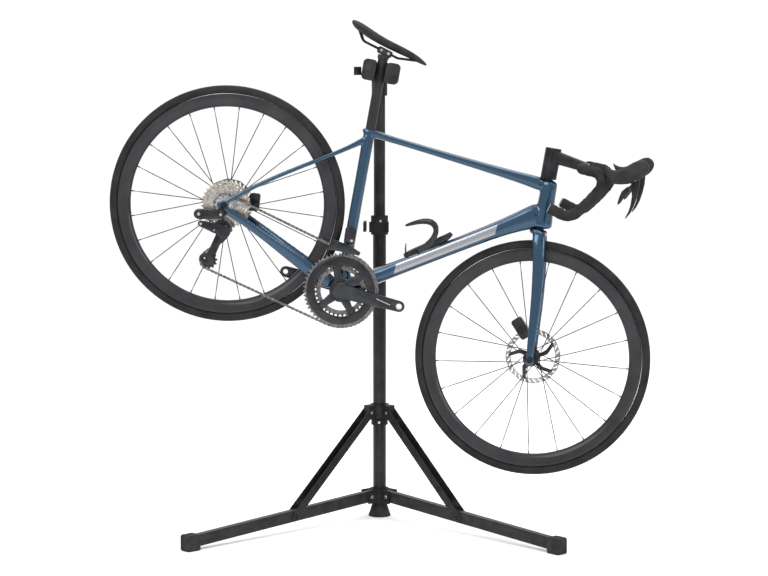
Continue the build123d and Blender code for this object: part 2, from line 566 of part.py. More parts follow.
def bar_line(side, start_y):
    """One half of the drop handlebar, from a point on the tops to the end of the drop."""
    FilletPolyline((BAR_TOP.X, side * start_y, BAR_TOP.Z), (BAR_TOP.X, side * 172, BAR_TOP.Z),
                   (550, side * 202, 648), (527, side * BAR_HALF_WIDTH, 560),
                   (502, side * (BAR_HALF_WIDTH + 2), 492), (438, side * (BAR_HALF_WIDTH + 4), 492),
                   radius=[28, 34, 90, 40])


with BuildPart() as cockpit:
    for side in (1, -1):
        with BuildLine() as bar_path:
            bar_line(side, 0)
        with BuildSketch(Plane(bar_path.line @ 0, z_dir=bar_path.line % 0)):
            Circle(BAR_RADIUS)
        sweep()
    stem_root = on_steerer(612)
    with BuildSketch(Plane(stem_root, x_dir=(0, 1, 0), z_dir=(BAR_TOP - stem_root))):
        RectangleRounded(44, 38, 12)
    with BuildSketch(Plane(BAR_TOP - Vector(4, 0, 0), x_dir=(0, 1, 0), z_dir=(BAR_TOP - stem_root))):
        RectangleRounded(52, 28, 11)
    loft()
    with BuildSketch(station(on_steerer(HEAD_TOP + 1), steer_dir)):
        Circle(23)
    extrude(amount=(STEM_TOP - HEAD_TOP - 1) / steer_dir.Z)
    with BuildSketch(station(on_steerer(HEAD_TOP - 5), steer_dir)):
        Circle(14.35)
    extrude(amount=(630 - HEAD_TOP + 5) / steer_dir.Z, mode=Mode.SUBTRACT)
finish(cockpit, "cockpit", TURNED)

TAPE_START = 78.0
with BuildPart() as bar_tape:
    for side in (1, -1):
        with BuildLine() as tape_path:
            bar_line(side, TAPE_START)
        with BuildSketch(Plane(tape_path.line @ 0, z_dir=tape_path.line % 0)):
            Circle(TAPE_RADIUS)
            Circle(BAR_RADIUS + 0.1, mode=Mode.SUBTRACT)
        sweep()
finish(bar_tape, "bar_tape", TURNED)

HOOD_HALF = 17.0
PIVOT = (611.0, 668.0)
LEVER_SLOT = 7.5


def lever_outline(grow=0.0):
    """The brake lever blade in side view."""
    Polyline((PIVOT[0] - 8, PIVOT[1] + 6 + grow), (PIVOT[0] + 9 + grow, PIVOT[1] + 6 + grow),
             (636 + grow, 628), (642 + grow, 590), (638 + grow, 560 - grow), (631 - grow, 560 - grow),
             (632 - grow, 592), (622 - grow, 632), (PIVOT[0] - 8 - grow, PIVOT[1] - 12), close=True)


for side_name, side in (("left", 1), ("right", -1)):
    with BuildPart() as hood:
        with BuildSketch(side_plane(side * LEVER_Y + HOOD_HALF)):
            with BuildLine():
                Spline((520, 664), (569, 684), (590, 714), (606, 725), (627, 718), (632, 700),
                       (624, 676), (600, 650), (560, 630))
                Line((560, 630), (520, 664))
            make_face()
        extrude(amount=2 * HOOD_HALF)
        fillet(hood.edges().filter_by(GeomType.BSPLINE), 9)
        with BuildLine() as tape_path:
            bar_line(side, TAPE_START)
        with BuildSketch(Plane(tape_path.line @ 0, z_dir=tape_path.line % 0)):
            Circle(TAPE_RADIUS + 0.05)
        sweep(mode=Mode.SUBTRACT)
        with BuildSketch(side_plane(side * LEVER_Y + LEVER_SLOT)):
            with BuildLine():
                Polyline((PIVOT[0] - 26, PIVOT[1] + 12), (PIVOT[0] + 60, PIVOT[1] + 12),
                         (PIVOT[0] + 60, PIVOT[1] - 60), (PIVOT[0] - 26, PIVOT[1] - 60), close=True)
            make_face()
        extrude(amount=2 * LEVER_SLOT, mode=Mode.SUBTRACT)
    finish(hood, f"hood_{side_name}", TURNED)

    with BuildPart() as brake_lever:
        with BuildSketch(side_plane(side * LEVER_Y + 6)):
            with BuildLine():
                lever_outline()
            make_face()
        extrude(amount=12)
        fillet(brake_lever.edges().filter_by(Axis.Y).sort_by(Axis.Z)[:2], 3)
        disc(PIVOT, 2.0, side * LEVER_Y, 20, Mode.SUBTRACT)
    finish(brake_lever, f"brake_lever_{side_name}", TURNED)

    with BuildPart() as shift_paddle:
        with BuildSketch(side_plane(side * LEVER_Y + 6.5)):
            with BuildLine():
                Polyline((598, 632), (607, 632), (612, 620), (606, 592), (594, 594), (597, 616), close=True)
            make_face()
        extrude(amount=13)
    finish(shift_paddle, f"shift_paddle_{side_name}", TURNED)

# ======================================================================================
# Wheels
# ======================================================================================
NIPPLE = 0.2
wheels = (
    ("front", FRONT_AXLE, FRONT_SPOKES, FRONT_SPACING / 2, ROTOR_FRONT, FRONT_ROTOR_Y, TURNED),
    ("rear", REAR_AXLE, REAR_SPOKES, REAR_SPACING / 2, ROTOR_REAR, REAR_ROTOR_Y, HANG),
)
FLANGES = {"front": (26.0, -34.0, 22.0), "rear": (36.0, -20.0, 24.0)}   # left, right, radius

for wheel_name, axle, spoke_count, hub_half, rotor_radius, rotor_y, place in wheels:
    axle_line = Axis((axle[0], 0, axle[1]), (0, 1, 0))
    wheel_plane = Plane((axle[0], 0, axle[1]), x_dir=(1, 0, 0), z_dir=(0, 0, 1))
    tyre_centre = TYRE_RADIUS - TYRE_SECTION
    bed = tyre_centre - 9.5
    with BuildPart() as tyre:
        with BuildSketch(wheel_plane):
            with Locations((tyre_centre, 0)):
                Circle(TYRE_SECTION)
                Circle(TYRE_SECTION - 2.6, mode=Mode.SUBTRACT)
            with Locations((bed - 10, 0)):
                Rectangle(20, 40, mode=Mode.SUBTRACT)
        revolve(axis=axle_line)
    finish(tyre, f"{wheel_name}_tyre", place)

    with BuildPart() as rim:
        with BuildSketch(wheel_plane):
            with BuildLine():
                Polyline((bed - 0.05, -10.2), (bed - 0.05, 10.2))
                Line((bed - 0.05, 10.2), (RIM_OUTER - 4, RIM_HALF_WIDTH))
                Spline((RIM_OUTER - 4, RIM_HALF_WIDTH), (RIM_INNER + 14, 10.5), (RIM_INNER, 0),
                       (RIM_INNER + 14, -10.5), (RIM_OUTER - 4, -RIM_HALF_WIDTH))
                Line((RIM_OUTER - 4, -RIM_HALF_WIDTH), (bed - 0.05, -10.2))
            make_face()
            with BuildLine():
                Polyline((RIM_OUTER - 5, -8.5), (RIM_OUTER - 5, 8.5), (RIM_INNER + 14, 7.5),
                         (RIM_INNER + 5, 3), (RIM_INNER + 5, -3), (RIM_INNER + 14, -7.5), close=True)
            make_face(mode=Mode.SUBTRACT)
        revolve(axis=axle_line)
    finish(rim, f"{wheel_name}_rim", place)

    left_flange, right_flange, flange_radius = FLANGES[wheel_name]
    barrel = 12.0 if wheel_name == "front" else 14.0
    with BuildPart() as hub:
        disc(axle, barrel, (left_flange + right_flange) / 2, left_flange - right_flange)
        disc(axle, flange_radius, left_flange, 5)
        disc(axle, flange_radius, right_flange, 5)
        disc(axle, 16.0, (left_flange + rotor_y) / 2, rotor_y - left_flange - ROTOR_THICK - 0.1)
        disc(axle, 9.0, 0, 2 * hub_half - 0.6)
        disc(axle, AXLE_RADIUS + GAP, 0, 2 * hub_half + 2, Mode.SUBTRACT)
    finish(hub, f"{wheel_name}_hub", place)

    with BuildPart() as spokes:
        if wheel_name == "front":
            # two of three spokes run to the brake side
            pattern = lambda i: ((0, 1), (1, 0), (0, -1))[i % 3]
        else:
            # two of three spokes run to the drive side
            pattern = lambda i: ((1, 1), (0, 0), (1, -1))[i % 3]
        ring_of_rods(spoke_count, 4, pattern, flange_radius + 1.2,
                     (left_flange, right_flange), 46, axle, RIM_INNER - NIPPLE)
    finish(spokes, f"{wheel_name}_spokes", place)

    with BuildPart() as rotor:
        with BuildSketch(side_plane(rotor_y + ROTOR_THICK / 2)):
            with Locations(axle):
                Circle(rotor_radius)
                Circle(rotor_radius - 17, mode=Mode.SUBTRACT)
                Circle(24)
                with PolarLocations((rotor_radius + 8) / 2, 6, 18):
                    Rectangle(rotor_radius - 24, 7)
                Circle(9.05, mode=Mode.SUBTRACT)
        extrude(amount=ROTOR_THICK)
    finish(rotor, f"{wheel_name}_rotor", place)

    with BuildPart() as wheel_axle:
        disc(axle, AXLE_RADIUS, 0, 2 * hub_half + 24)
        disc(axle, 10, -(hub_half + 11.2), 1.6)
    finish(wheel_axle, f"{wheel_name}_axle", place)

# Flat-mount callipers straddle the rotors.
CALIPER_HALF = 17.0
CALIPERS = (("front", (511.0, 128.0), 60.0, 64.0, FRONT_ROTOR_Y, TURNED, (20.0, 34.0)),
            ("rear", (-338.0, 106.0), 20.0, 52.0, REAR_ROTOR_Y, HANG, (22.0, 30.0)))
for caliper_name, centre, turn, length, rotor_y, place, (inward, height) in CALIPERS:
    axle = FRONT_AXLE if caliper_name == "front" else REAR_AXLE
    radius = ROTOR_FRONT if caliper_name == "front" else ROTOR_REAR
    with BuildPart() as caliper:
        with BuildSketch(side_plane(rotor_y + 12)):
            with Locations(Location((centre[0], centre[1], 0), (0, 0, turn + 90))):
                RectangleRounded(length, height, 8)
        extrude(amount=24)
        with BuildSketch(side_plane(rotor_y + 2.2)):
            with Locations(axle):
                Circle(radius + 1.5)
        extrude(amount=4.4, mode=Mode.SUBTRACT)
    finish(caliper, f"{caliper_name}_caliper", place)

# ======================================================================================
# Drive train
# ======================================================================================
ARM_HALF = 20.0
Q_HALF = 73.0
pedal = (CRANK_LENGTH * cos(radians(CRANK_ANGLE)), CRANK_LENGTH * sin(radians(CRANK_ANGLE)))


def crank_arm(sign, y, thickness):
    """A crank arm tapering from the axle to the pedal thread."""
    with BuildSketch(side_plane(y + thickness / 2)) as arm:
        with Locations(Location((0, 0, 0), (0, 0, CRANK_ANGLE + (0 if sign > 0 else 180)))):
            with Locations((0, 0)):
                Circle(ARM_HALF + 2)
            with Locations((CRANK_LENGTH, 0)):
                Circle(16)
            Polygon((0, ARM_HALF + 1), (CRANK_LENGTH, 15.5), (CRANK_LENGTH, -15.5), (0, -ARM_HALF - 1), align=None)
    extrude(arm.sketch, amount=thickness)
    with BuildSketch(side_plane(y + thickness)) as thread:
        with Locations((sign * pedal[0], sign * pedal[1])):
            Circle(PEDAL_THREAD)
    extrude(thread.sketch, amount=3 * thickness, mode=Mode.SUBTRACT)


SPIDER_REACH = 58.0
with BuildPart() as crank_right:
    crank_arm(1, -61, 15)
    for angle in (50, 115, 232, 300):
        with BuildSketch(side_plane(-49.5)):
            with Locations(Location((0, 0, 0), (0, 0, CRANK_ANGLE + angle))):
                with Locations((SPIDER_REACH / 2, 0)):
                    Rectangle(SPIDER_REACH, 20)
                with Locations((SPIDER_REACH, 0)):
                    Circle(13)
        extrude(amount=9)
    disc((0, 0), ARM_HALF, -52, 9)
    disc((0, 0), SPINDLE, 0, 2 * 60)
    disc((0, 0), SPINDLE - 2, 4, 2 * 60, Mode.SUBTRACT)
finish(crank_right, "crank_right", HANG)

with BuildPart() as crank_left:
    crank_arm(-1, 65, 15)
    disc((0, 0), ARM_HALF, 56, 10)
    disc((0, 0), SPINDLE + 0.05, 46, 28.05, Mode.SUBTRACT)
finish(crank_left, "crank_left", HANG)

CHAIN_HALF = 3.8
RING_THICK = 3.0
with BuildPart() as chainrings:
    for teeth, y, inner in ((RING_TEETH, RING_Y, 72.0), (INNER_TEETH, INNER_RING_Y, 46.0)):
        outer = chain_radius(teeth) - CHAIN_HALF - GAP
        with BuildSketch(side_plane(y + RING_THICK / 2)):
            Circle(outer)
            Circle(inner - 14 if teeth == RING_TEETH else inner, mode=Mode.SUBTRACT)
        extrude(amount=RING_THICK)
finish(chainrings, "chainrings", HANG)

with BuildPart() as cassette:
    disc(REAR_AXLE, 17, (cog_y(0) + cog_y(len(COGS) - 1)) / 2, cog_y(len(COGS) - 1) - cog_y(0) + 1.4)
    for index, teeth in enumerate(COGS):
        reach = chain_radius(teeth) + (1.5 if index != DRIVEN_COG else -CHAIN_HALF - GAP)
        disc(REAR_AXLE, reach, cog_y(index), 1.4)
    disc(REAR_AXLE, 9.0 + GAP, -45, 100, Mode.SUBTRACT)
finish(cassette, "cassette", HANG)

CHAIN_WIDTH = 4.2
pulley_radius = chain_radius(PULLEY_TEETH)
CHAIN_Y = cog_y(DRIVEN_COG)
drift = degrees(asin((RING_Y - CHAIN_Y) / REAR_CENTRE))
chain_plane = Plane(Location((0, RING_Y, 0), (90, 0, 0)) * Rot(0, drift, 0))


def tangent(a, ra, b, rb):
    """Touching points of the straight chain run from circle a to circle b.

    A positive radius keeps the circle on the left of the run, a negative one on its right.
    """
    dx, dz = b[0] - a[0], b[1] - a[1]
    gap = hypot(dx, dz)
    along, aside = atan2(dz, dx), asin((ra - rb) / gap)
    turn = along + aside
    nx, nz = sin(turn), -cos(turn)
    return (a[0] + ra * nx, a[1] + ra * nz), (b[0] + rb * nx, b[1] + rb * nz)


def chain_outline(grow):
    """The closed chain path, moved outwards from the pitch line by a distance."""
    wheels = ((0.0, 0.0), chain_radius(RING_TEETH) + grow), (REAR_AXLE, chain_radius(COGS[DRIVEN_COG]) + grow), \
             (GUIDE_PULLEY, -pulley_radius + grow), (TENSION_PULLEY, pulley_radius + grow)
    count = len(wheels)
    runs = [tangent(*wheels[i], *wheels[(i + 1) % count]) for i in range(count)]
    for i, (start, end) in enumerate(runs):
        Line(start, end)
        centre, radius = wheels[(i + 1) % count]
        leave = runs[(i + 1) % count][0]
        sense = 1 if radius > 0 else -1
        a0 = atan2(end[1] - centre[1], end[0] - centre[0])
        a1 = atan2(leave[1] - centre[1], leave[0] - centre[0])
        sweep_angle = (a1 - a0) * sense % (2 * pi)
        middle = a0 + sense * sweep_angle / 2
        r = abs(radius)
        ThreePointArc(end, (centre[0] + r * cos(middle), centre[1] + r * sin(middle)), leave)


with BuildPart() as chain:
    with BuildSketch(chain_plane.offset(-CHAIN_WIDTH / 2)):
        with BuildLine():
            chain_outline(CHAIN_HALF)
        make_face()
        with BuildLine():
            chain_outline(-CHAIN_HALF)
        make_face(mode=Mode.SUBTRACT)
    extrude(amount=CHAIN_WIDTH)
finish(chain, "chain", HANG)

# Rear derailleur: a fixed body, a knuckle that carries the cage, the cage and two pulleys.
KNUCKLE = (-372.0, 4.0)
HANGER = (REAR_AXLE[0] + 4, REAR_AXLE[1] - 26)
BODY_TAIL = (-456.0, 18.0)


def link_plate(a, ra, b, rb, y_out, thickness, mode=Mode.ADD):
    """A flat link with round ends between two points of the side view."""
    along = atan2(b[1] - a[1], b[0] - a[0])
    nx, nz = -sin(along), cos(along)
    with BuildSketch(side_plane(y_out + thickness)) as plate:
        with Locations(a):
            Circle(ra)
        with Locations(b):
            Circle(rb)
        Polygon((a[0] + ra * nx, a[1] + ra * nz), (b[0] + rb * nx, b[1] + rb * nz),
                (b[0] - rb * nx, b[1] - rb * nz), (a[0] - ra * nx, a[1] - ra * nz), align=None)
    extrude(plate.sketch, amount=thickness, mode=mode)


with BuildPart() as rd_body:
    link_plate(HANGER, 11, BODY_TAIL, 16, -92, 14)
    link_plate(HANGER, 11, REAR_AXLE, 9, -83, 5)
    disc(REAR_AXLE, AXLE_RADIUS + 4.4, -80, 12, Mode.SUBTRACT)
finish(rd_body, "rd_body", HANG)

with BuildPart() as rd_knuckle:
    link_plate((-440, -6), 10, KNUCKLE, 19, -77, 12)
    disc(KNUCKLE, 7, -63.5, 5)
finish(rd_knuckle, "rd_knuckle", HANG)

with BuildPart() as rd_cage:
    for y_out in (-62.2, -49.0):
        link_plate(GUIDE_PULLEY, 12, TENSION_PULLEY, 14, y_out, 1.6)
        link_plate(KNUCKLE, 12, GUIDE_PULLEY, 12, y_out, 1.6)
    disc(KNUCKLE, 7 + GAP, -61.6, 4, Mode.SUBTRACT)
    for spot in (GUIDE_PULLEY, TENSION_PULLEY):
        disc(spot, 3, -54.8, 14.8)
finish(rd_cage, "rd_cage", HANG)

for pulley_name, spot in (("guide_pulley", GUIDE_PULLEY), ("tension_pulley", TENSION_PULLEY)):
    with BuildPart() as pulley:
        disc(spot, pulley_radius - CHAIN_HALF - GAP, CHAIN_Y, 2.4)
        disc(spot, 8, CHAIN_Y, 6)
        disc(spot, 3 + GAP, CHAIN_Y, 10, Mode.SUBTRACT)
    finish(pulley, pulley_name, HANG)

# Front derailleur on the seat tube, its cage round the chain.
with BuildPart() as fd_body:
    with BuildSketch(side_plane(-16)):
        with Locations(Location((-46, 152, 0), (0, 0, 17))):
            RectangleRounded(34, 46, 8)
    extrude(amount=22)
finish(fd_body, "fd_body", HANG)

with BuildPart() as fd_cage:
    for y_out, thick in ((-52.4, 1.4), (-38.4, 1.4)):
        with BuildSketch(side_plane(y_out + thick)):
            with BuildLine():
                l1 = Polyline((-92, 84), (-84, 122), (-30, 126), (2, 122), (2, 113))
                ThreePointArc((2, 113), (-46, 103.5), (-92, 84))
            make_face()
        extrude(amount=thick)
    with BuildSketch(side_plane(-38.4)):
        with Locations((-50, 121.5)):
            Rectangle(26, 3)
    extrude(amount=14)
finish(fd_cage, "fd_cage", HANG)

# Bottle cage on the down tube: u runs up the tube, v stands off it.
cage_frame = Plane((0, 0, 0), x_dir=down_dir, z_dir=(0, -1, 0))


def on_down_tube(u, y, v):
    """A point given along the down tube, across the bicycle and off the tube's axis."""
    off = Vector(-down_dir.Z, 0, down_dir.X)
    return down_dir * u + off * v + Vector(0, y, 0)


CAGE_SEAT = 22.3
with BuildPart() as bottle_cage:
    with BuildSketch(cage_frame.offset(-11)):
        with Locations((285, CAGE_SEAT + 2.2)):
            RectangleRounded(150, 4, 1.5)
    extrude(amount=22)
    for side in (1, -1):
        with BuildLine() as cage_line:
            FilletPolyline(on_down_tube(228, side * 6, CAGE_SEAT + 3), on_down_tube(292, side * 33, 40),
                           on_down_tube(326, side * 39, 74), on_down_tube(292, side * 26, 101),
                           on_down_tube(236, 0, 104), radius=15)
        with BuildSketch(Plane(cage_line.line @ 0, z_dir=cage_line.line % 0)):
            Ellipse(3.2, 5)
        sweep()
finish(bottle_cage, "bottle_cage", HANG)
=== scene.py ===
"""The looks of a road bicycle hung in a folding repair stand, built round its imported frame."""

import json
import logging
import math
from dataclasses import dataclass
from enum import Enum
from typing import Sequence

import bpy
from mathutils import Matrix, Vector


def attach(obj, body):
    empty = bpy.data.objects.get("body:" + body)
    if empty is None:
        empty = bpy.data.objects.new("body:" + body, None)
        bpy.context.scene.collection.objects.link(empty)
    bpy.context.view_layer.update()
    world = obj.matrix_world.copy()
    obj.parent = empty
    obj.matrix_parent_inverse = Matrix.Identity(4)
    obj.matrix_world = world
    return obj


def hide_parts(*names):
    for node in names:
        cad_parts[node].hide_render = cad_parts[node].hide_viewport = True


LOG = logging.getLogger("bicycle")

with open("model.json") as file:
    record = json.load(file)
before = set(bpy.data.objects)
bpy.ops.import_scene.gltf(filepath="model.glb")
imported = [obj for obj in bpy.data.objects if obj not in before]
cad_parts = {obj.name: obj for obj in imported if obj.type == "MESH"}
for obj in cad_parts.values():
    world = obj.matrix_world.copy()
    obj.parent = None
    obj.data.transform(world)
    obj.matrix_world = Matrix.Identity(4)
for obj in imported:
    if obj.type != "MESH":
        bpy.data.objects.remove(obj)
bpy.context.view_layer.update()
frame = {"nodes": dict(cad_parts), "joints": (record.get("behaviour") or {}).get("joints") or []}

Point = tuple[float, float]
Colour = tuple[float, float, float]
Piece = bpy.types.Object

JOINTS = {joint["name"]: joint for joint in frame["joints"]}
MM = Matrix.Scale(0.001, 4)
TILT = math.radians(26.7)
STEER_REST = math.radians(-7.5)
TURN_90 = Matrix.Rotation(math.pi / 2, 4, "X")


def joint_place(name: str) -> Vector:
    """Return the point that a joint turns about, in metres.

    Args:
        name: The joint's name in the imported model.

    Returns:
        The joint's centre.
    """
    return Vector(JOINTS[name]["pos_m"])


STAND = MM
REAR_CENTRE = tuple(joint_place("rear_wheel_spin"))
FRONT_CENTRE = tuple(joint_place("front_wheel_spin"))
CRANK_CENTRE = tuple(joint_place("crank_spin"))
HANG = Matrix.Translation(joint_place("crank_spin")) @ Matrix.Rotation(TILT, 4, "Y") @ MM
STEER_POINT = joint_place("steering_turn")
STEER_AXIS = Vector(JOINTS["steering_turn"]["axis"])
TURNED = (Matrix.Translation(STEER_POINT) @ Matrix.Rotation(STEER_REST, 4, STEER_AXIS)
          @ Matrix.Translation(-STEER_POINT) @ HANG)


# ======================================================================================
# Finishes
# ======================================================================================
class Value:
    """A shader socket that ordinary arithmetic extends with Math nodes."""

    def __init__(self, tree: bpy.types.NodeTree, socket: bpy.types.NodeSocket) -> None:
        """Wrap one output socket of a node tree."""
        self.tree = tree
        self.socket = socket

    def math(self, operation: str, *others: "Value | float") -> "Value":
        """Return this value put through a Math node.

        Args:
            operation: The Math node's operation.
            others: Its second and third values.

        Returns:
            The node's result.
        """
        node = self.tree.nodes.new("ShaderNodeMath")
        node.operation = operation
        for port, given in zip(node.inputs, (self, *others)):
            if isinstance(given, Value):
                self.tree.links.new(given.socket, port)
            else:
                port.default_value = given
        return Value(self.tree, node.outputs[0])


    def __add__(self, other: "Value | float") -> "Value":
        """Return the sum."""
        return self.math("ADD", other)

    __radd__ = __add__

    def __sub__(self, other: "Value | float") -> "Value":
        """Return the difference."""
        return self.math("SUBTRACT", other)

    def __rsub__(self, other: float) -> "Value":
        """Return a number less this value."""
        return (self * -1.0) + other

    def __mul__(self, other: "Value | float") -> "Value":
        """Return the product."""
        return self.math("MULTIPLY", other)

    __rmul__ = __mul__

    def between(self, low: float, high: float) -> "Value":
        """Return 0 at or under low, 1 at or over high and a straight rise between."""
        return ((self - low) * (1.0 / (high - low))).math("MAXIMUM", 0.0).math("MINIMUM", 1.0)


class Recipe:
    """One material's node tree, with short names for what the finishes use."""

    def __init__(self, name: str) -> None:
        """Start a material that holds one Principled shader."""
        self.material = bpy.data.materials.new(name)
        self.material.use_nodes = True
        self.tree = self.material.node_tree
        self.shader = self.tree.nodes["Principled BSDF"]
        self.shader.inputs["Specular IOR Level"].default_value = 0.1
        self.coordinates = self.tree.nodes.new("ShaderNodeTexCoord").outputs["Object"]

    def node(self, kind: str, settings: dict | None = None, **inputs: object) -> bpy.types.Node:
        """Add a node.

        Args:
            kind: The node's type.
            settings: Its own options, set before its sockets.
            inputs: Socket values or links, with underscores for spaces.

        Returns:
            The new node.
        """
        made = self.tree.nodes.new(kind)
        for key, option in (settings or {}).items():
            setattr(made, key, option)
        for key, given in inputs.items():
            port = made.inputs[key.replace("_", " ")]
            if isinstance(given, Value):
                given = given.socket
            if isinstance(given, bpy.types.NodeSocket):
                self.tree.links.new(given, port)
            else:
                port.default_value = given
        return made

    def value(self, socket: bpy.types.NodeSocket) -> Value:
        """Wrap a socket for arithmetic."""
        return Value(self.tree, socket)

    def noise(self, size: float, detail: float = 3.0, stretch: Colour = (1.0, 1.0, 1.0)) -> Value:
        """Return cloudy noise from 0 to 1.

        Args:
            size: The size of its blotches, in metres.
            detail: How many finer layers it has.
            stretch: How much finer it is along each axis.

        Returns:
            The noise.
        """
        placed = self.node("ShaderNodeMapping", Vector=self.coordinates, Scale=stretch)
        return self.value(self.node("ShaderNodeTexNoise", Vector=placed.outputs[0], Scale=1.0 / size,
                                    Detail=detail).outputs[0])

    def flakes(self, size: float) -> bpy.types.NodeSocket:
        """Return a random colour for each small cell, as metal flakes have."""
        cells = self.node("ShaderNodeTexVoronoi", {"feature": "F1"}, Vector=self.coordinates,
                          Scale=1.0 / size)
        return cells.outputs["Color"]

    def across(self, axis: str) -> Value:
        """Return the place along one axis, in metres."""
        parts = self.node("ShaderNodeSeparateXYZ", Vector=self.coordinates)
        return self.value(parts.outputs[axis])

    def blend(self, factor: Value, first: object, second: object) -> bpy.types.NodeSocket:
        """Return a colour between two, by a factor."""
        mix = self.tree.nodes.new("ShaderNodeMix")
        mix.data_type = "RGBA"
        self.tree.links.new(factor.socket, mix.inputs[0])
        for port, given in ((mix.inputs[6], first), (mix.inputs[7], second)):
            if isinstance(given, bpy.types.NodeSocket):
                self.tree.links.new(given, port)
            else:
                port.default_value = (*given, 1.0)
        return mix.outputs[2]

    def fix(self, **numbers: object) -> None:
        """Set the shader's own sockets to fixed values."""
        for key, number in numbers.items():
            port = self.shader.inputs[key.replace("_", " ")]
            port.default_value = (*number, 1.0) if isinstance(number, tuple) else number

    def feed(self, name: str, source: object) -> None:
        """Link a changing value or colour to the shader."""
        source = source.socket if isinstance(source, Value) else source
        self.tree.links.new(source, self.shader.inputs[name])

    def raise_surface(self, height: Value, depth: float) -> None:
        """Bump the surface by a height map, depth in metres."""
        bump = self.node("ShaderNodeBump", Height=height, Distance=depth, Strength=1.0)
        self.feed("Normal", bump.outputs[0])


@dataclass(frozen=True)
class Finish:
    """A plain finish whose colour, gloss and surface wander a little.

    Attributes:
        name: What a maker would call it.
        slot: The record's material slot; not used.
        colour: Its main colour.
        drift: The colour that its blotches go to.
        rough: Roughness.
        spread: How far the roughness wanders.
        metal: Metallic share.
        grain: Size of the fine grain, in metres.
        depth: Height of the grain, in metres.
        blotch: Size of the colour blotches, in metres.
        coat: Clear coat weight.
        stretch: How much finer the grain is along each axis.
    """

    name: str
    slot: str
    colour: Colour
    drift: Colour
    rough: float
    spread: float = 0.08
    metal: float = 0.0
    grain: float = 0.0006
    depth: float = 0.00004
    blotch: float = 0.03
    coat: float = 0.0
    stretch: Colour = (1.0, 1.0, 1.0)

    def mix(self) -> bpy.types.Material:
        """Build the material."""
        recipe = Recipe(self.name)
        cloud = recipe.noise(self.blotch)
        grain = recipe.noise(self.grain, 2.0, self.stretch)
        recipe.feed("Base Color", self.tint(recipe, cloud, grain))
        recipe.feed("Roughness", (cloud - 0.5) * self.spread + (grain - 0.5) * self.spread + self.rough)
        recipe.fix(Metallic=self.metal, Coat_Weight=self.coat, Coat_Roughness=0.08)
        recipe.raise_surface(self.relief(recipe, grain), self.depth)
        return recipe.material

    def tint(self, recipe: Recipe, cloud: Value, grain: Value) -> bpy.types.NodeSocket:
        """Return the surface colour from the blotches and the grain."""
        return recipe.blend((cloud * 0.7 + grain * 0.3).between(0.35, 0.65), self.colour, self.drift)

    def relief(self, recipe: Recipe, grain: Value) -> Value:
        """Return the height map of the surface."""
        return grain


@dataclass(frozen=True)
class FlakePaint(Finish):
    """Metallic paint under lacquer, with painted shade that darkens it where the tubes turn away from the
    side.
    """

    # The navy colour painted as shade on the tubes' upper and lower edges.
    painted_edge_shade: Colour = (0.004, 0.010, 0.030)
    silver: Colour = (0.24, 0.25, 0.27)
    rise: float = math.radians(21.4)
    band: tuple[float, float] = (0.165, 0.475)

    def tint(self, recipe: Recipe, cloud: Value, grain: Value) -> bpy.types.NodeSocket:
        """Return teal on the flanks and painted shade in navy on the upper and lower edges, with fine flakes.
        """
        normal = recipe.node("ShaderNodeNewGeometry").outputs["Normal"]
        parts = recipe.node("ShaderNodeSeparateXYZ", Vector=normal)
        # Painted shade: faces that turn away from the side get the navy, so every tube's upper and lower edges
        # darken.
        side = recipe.value(parts.outputs["Y"]).math("ABSOLUTE")
        flank = (side + (cloud - 0.5) * 0.12).between(0.25, 0.8)
        body = recipe.blend(flank, self.painted_edge_shade, self.colour)
        spark = recipe.node("ShaderNodeSeparateColor", Color=recipe.flakes(0.0009))
        flecked = recipe.blend(recipe.value(spark.outputs[0]).between(0.72, 1.0) * 0.3, body, self.drift)
        return recipe.blend(self.stripe(recipe) * side.between(0.5, 0.8), flecked, self.silver)

    def stripe(self, recipe: Recipe) -> Value:
        """Return a plain slanted stripe along the down tube's flanks."""
        x, z = recipe.across("X") - CRANK_CENTRE[0], recipe.across("Z") - CRANK_CENTRE[2]
        along = x * math.cos(self.rise) + z * math.sin(self.rise)
        over = z * math.cos(self.rise) - x * math.sin(self.rise)
        slant = along - over * 0.7
        low, high = self.band
        ends = slant.between(low, low + 0.001) * (1.0 - slant.between(high, high + 0.001))
        height = 1.0 - over.math("ABSOLUTE").between(0.0115, 0.0122)
        return ends * height


@dataclass(frozen=True)
class Weave(Finish):
    """Carbon with the faint bands of its cloth under a satin skin."""

    cloth: float = 0.0022

    def tint(self, recipe: Recipe, cloud: Value, grain: Value) -> bpy.types.NodeSocket:
        """Return slanting bands that come and go with the blotches."""
        lean = recipe.across("X") + recipe.across("Z")
        bands = (lean * (2 * math.pi / self.cloth)).math("SINE") * 0.5 + 0.5
        return recipe.blend((bands * 0.25 + cloud * 0.75).between(0.3, 0.75), self.colour, self.drift)


@dataclass(frozen=True)
class Turned(Finish):
    """Metal with fine machining lines round an axle."""

    axle: Colour = (0.0, 0.0, 0.0)

    def relief(self, recipe: Recipe, grain: Value) -> Value:
        """Return rings round the axle, broken by the grain."""
        offset = recipe.node("ShaderNodeVectorMath", {"operation": "SUBTRACT"})
        recipe.tree.links.new(recipe.coordinates, offset.inputs[0])
        offset.inputs[1].default_value = self.axle
        length = recipe.node("ShaderNodeVectorMath", {"operation": "LENGTH"})
        recipe.tree.links.new(offset.outputs[0], length.inputs[0])
        rings = (recipe.value(length.outputs["Value"]) * (2 * math.pi / 0.0011)).math("SINE")
        return rings * 0.4 + grain


@dataclass(frozen=True)
class Wrap(Finish):
    """Handlebar tape with small punched dimples."""

    def relief(self, recipe: Recipe, grain: Value) -> Value:
        """Return the cloth's grain with rows of dimples."""
        cells = recipe.node("ShaderNodeTexVoronoi", {"feature": "F1"}, Vector=recipe.coordinates, Scale=420.0)
        dimple = recipe.value(cells.outputs["Distance"]).between(0.1, 0.4)
        return dimple * 0.8 + grain * 0.5




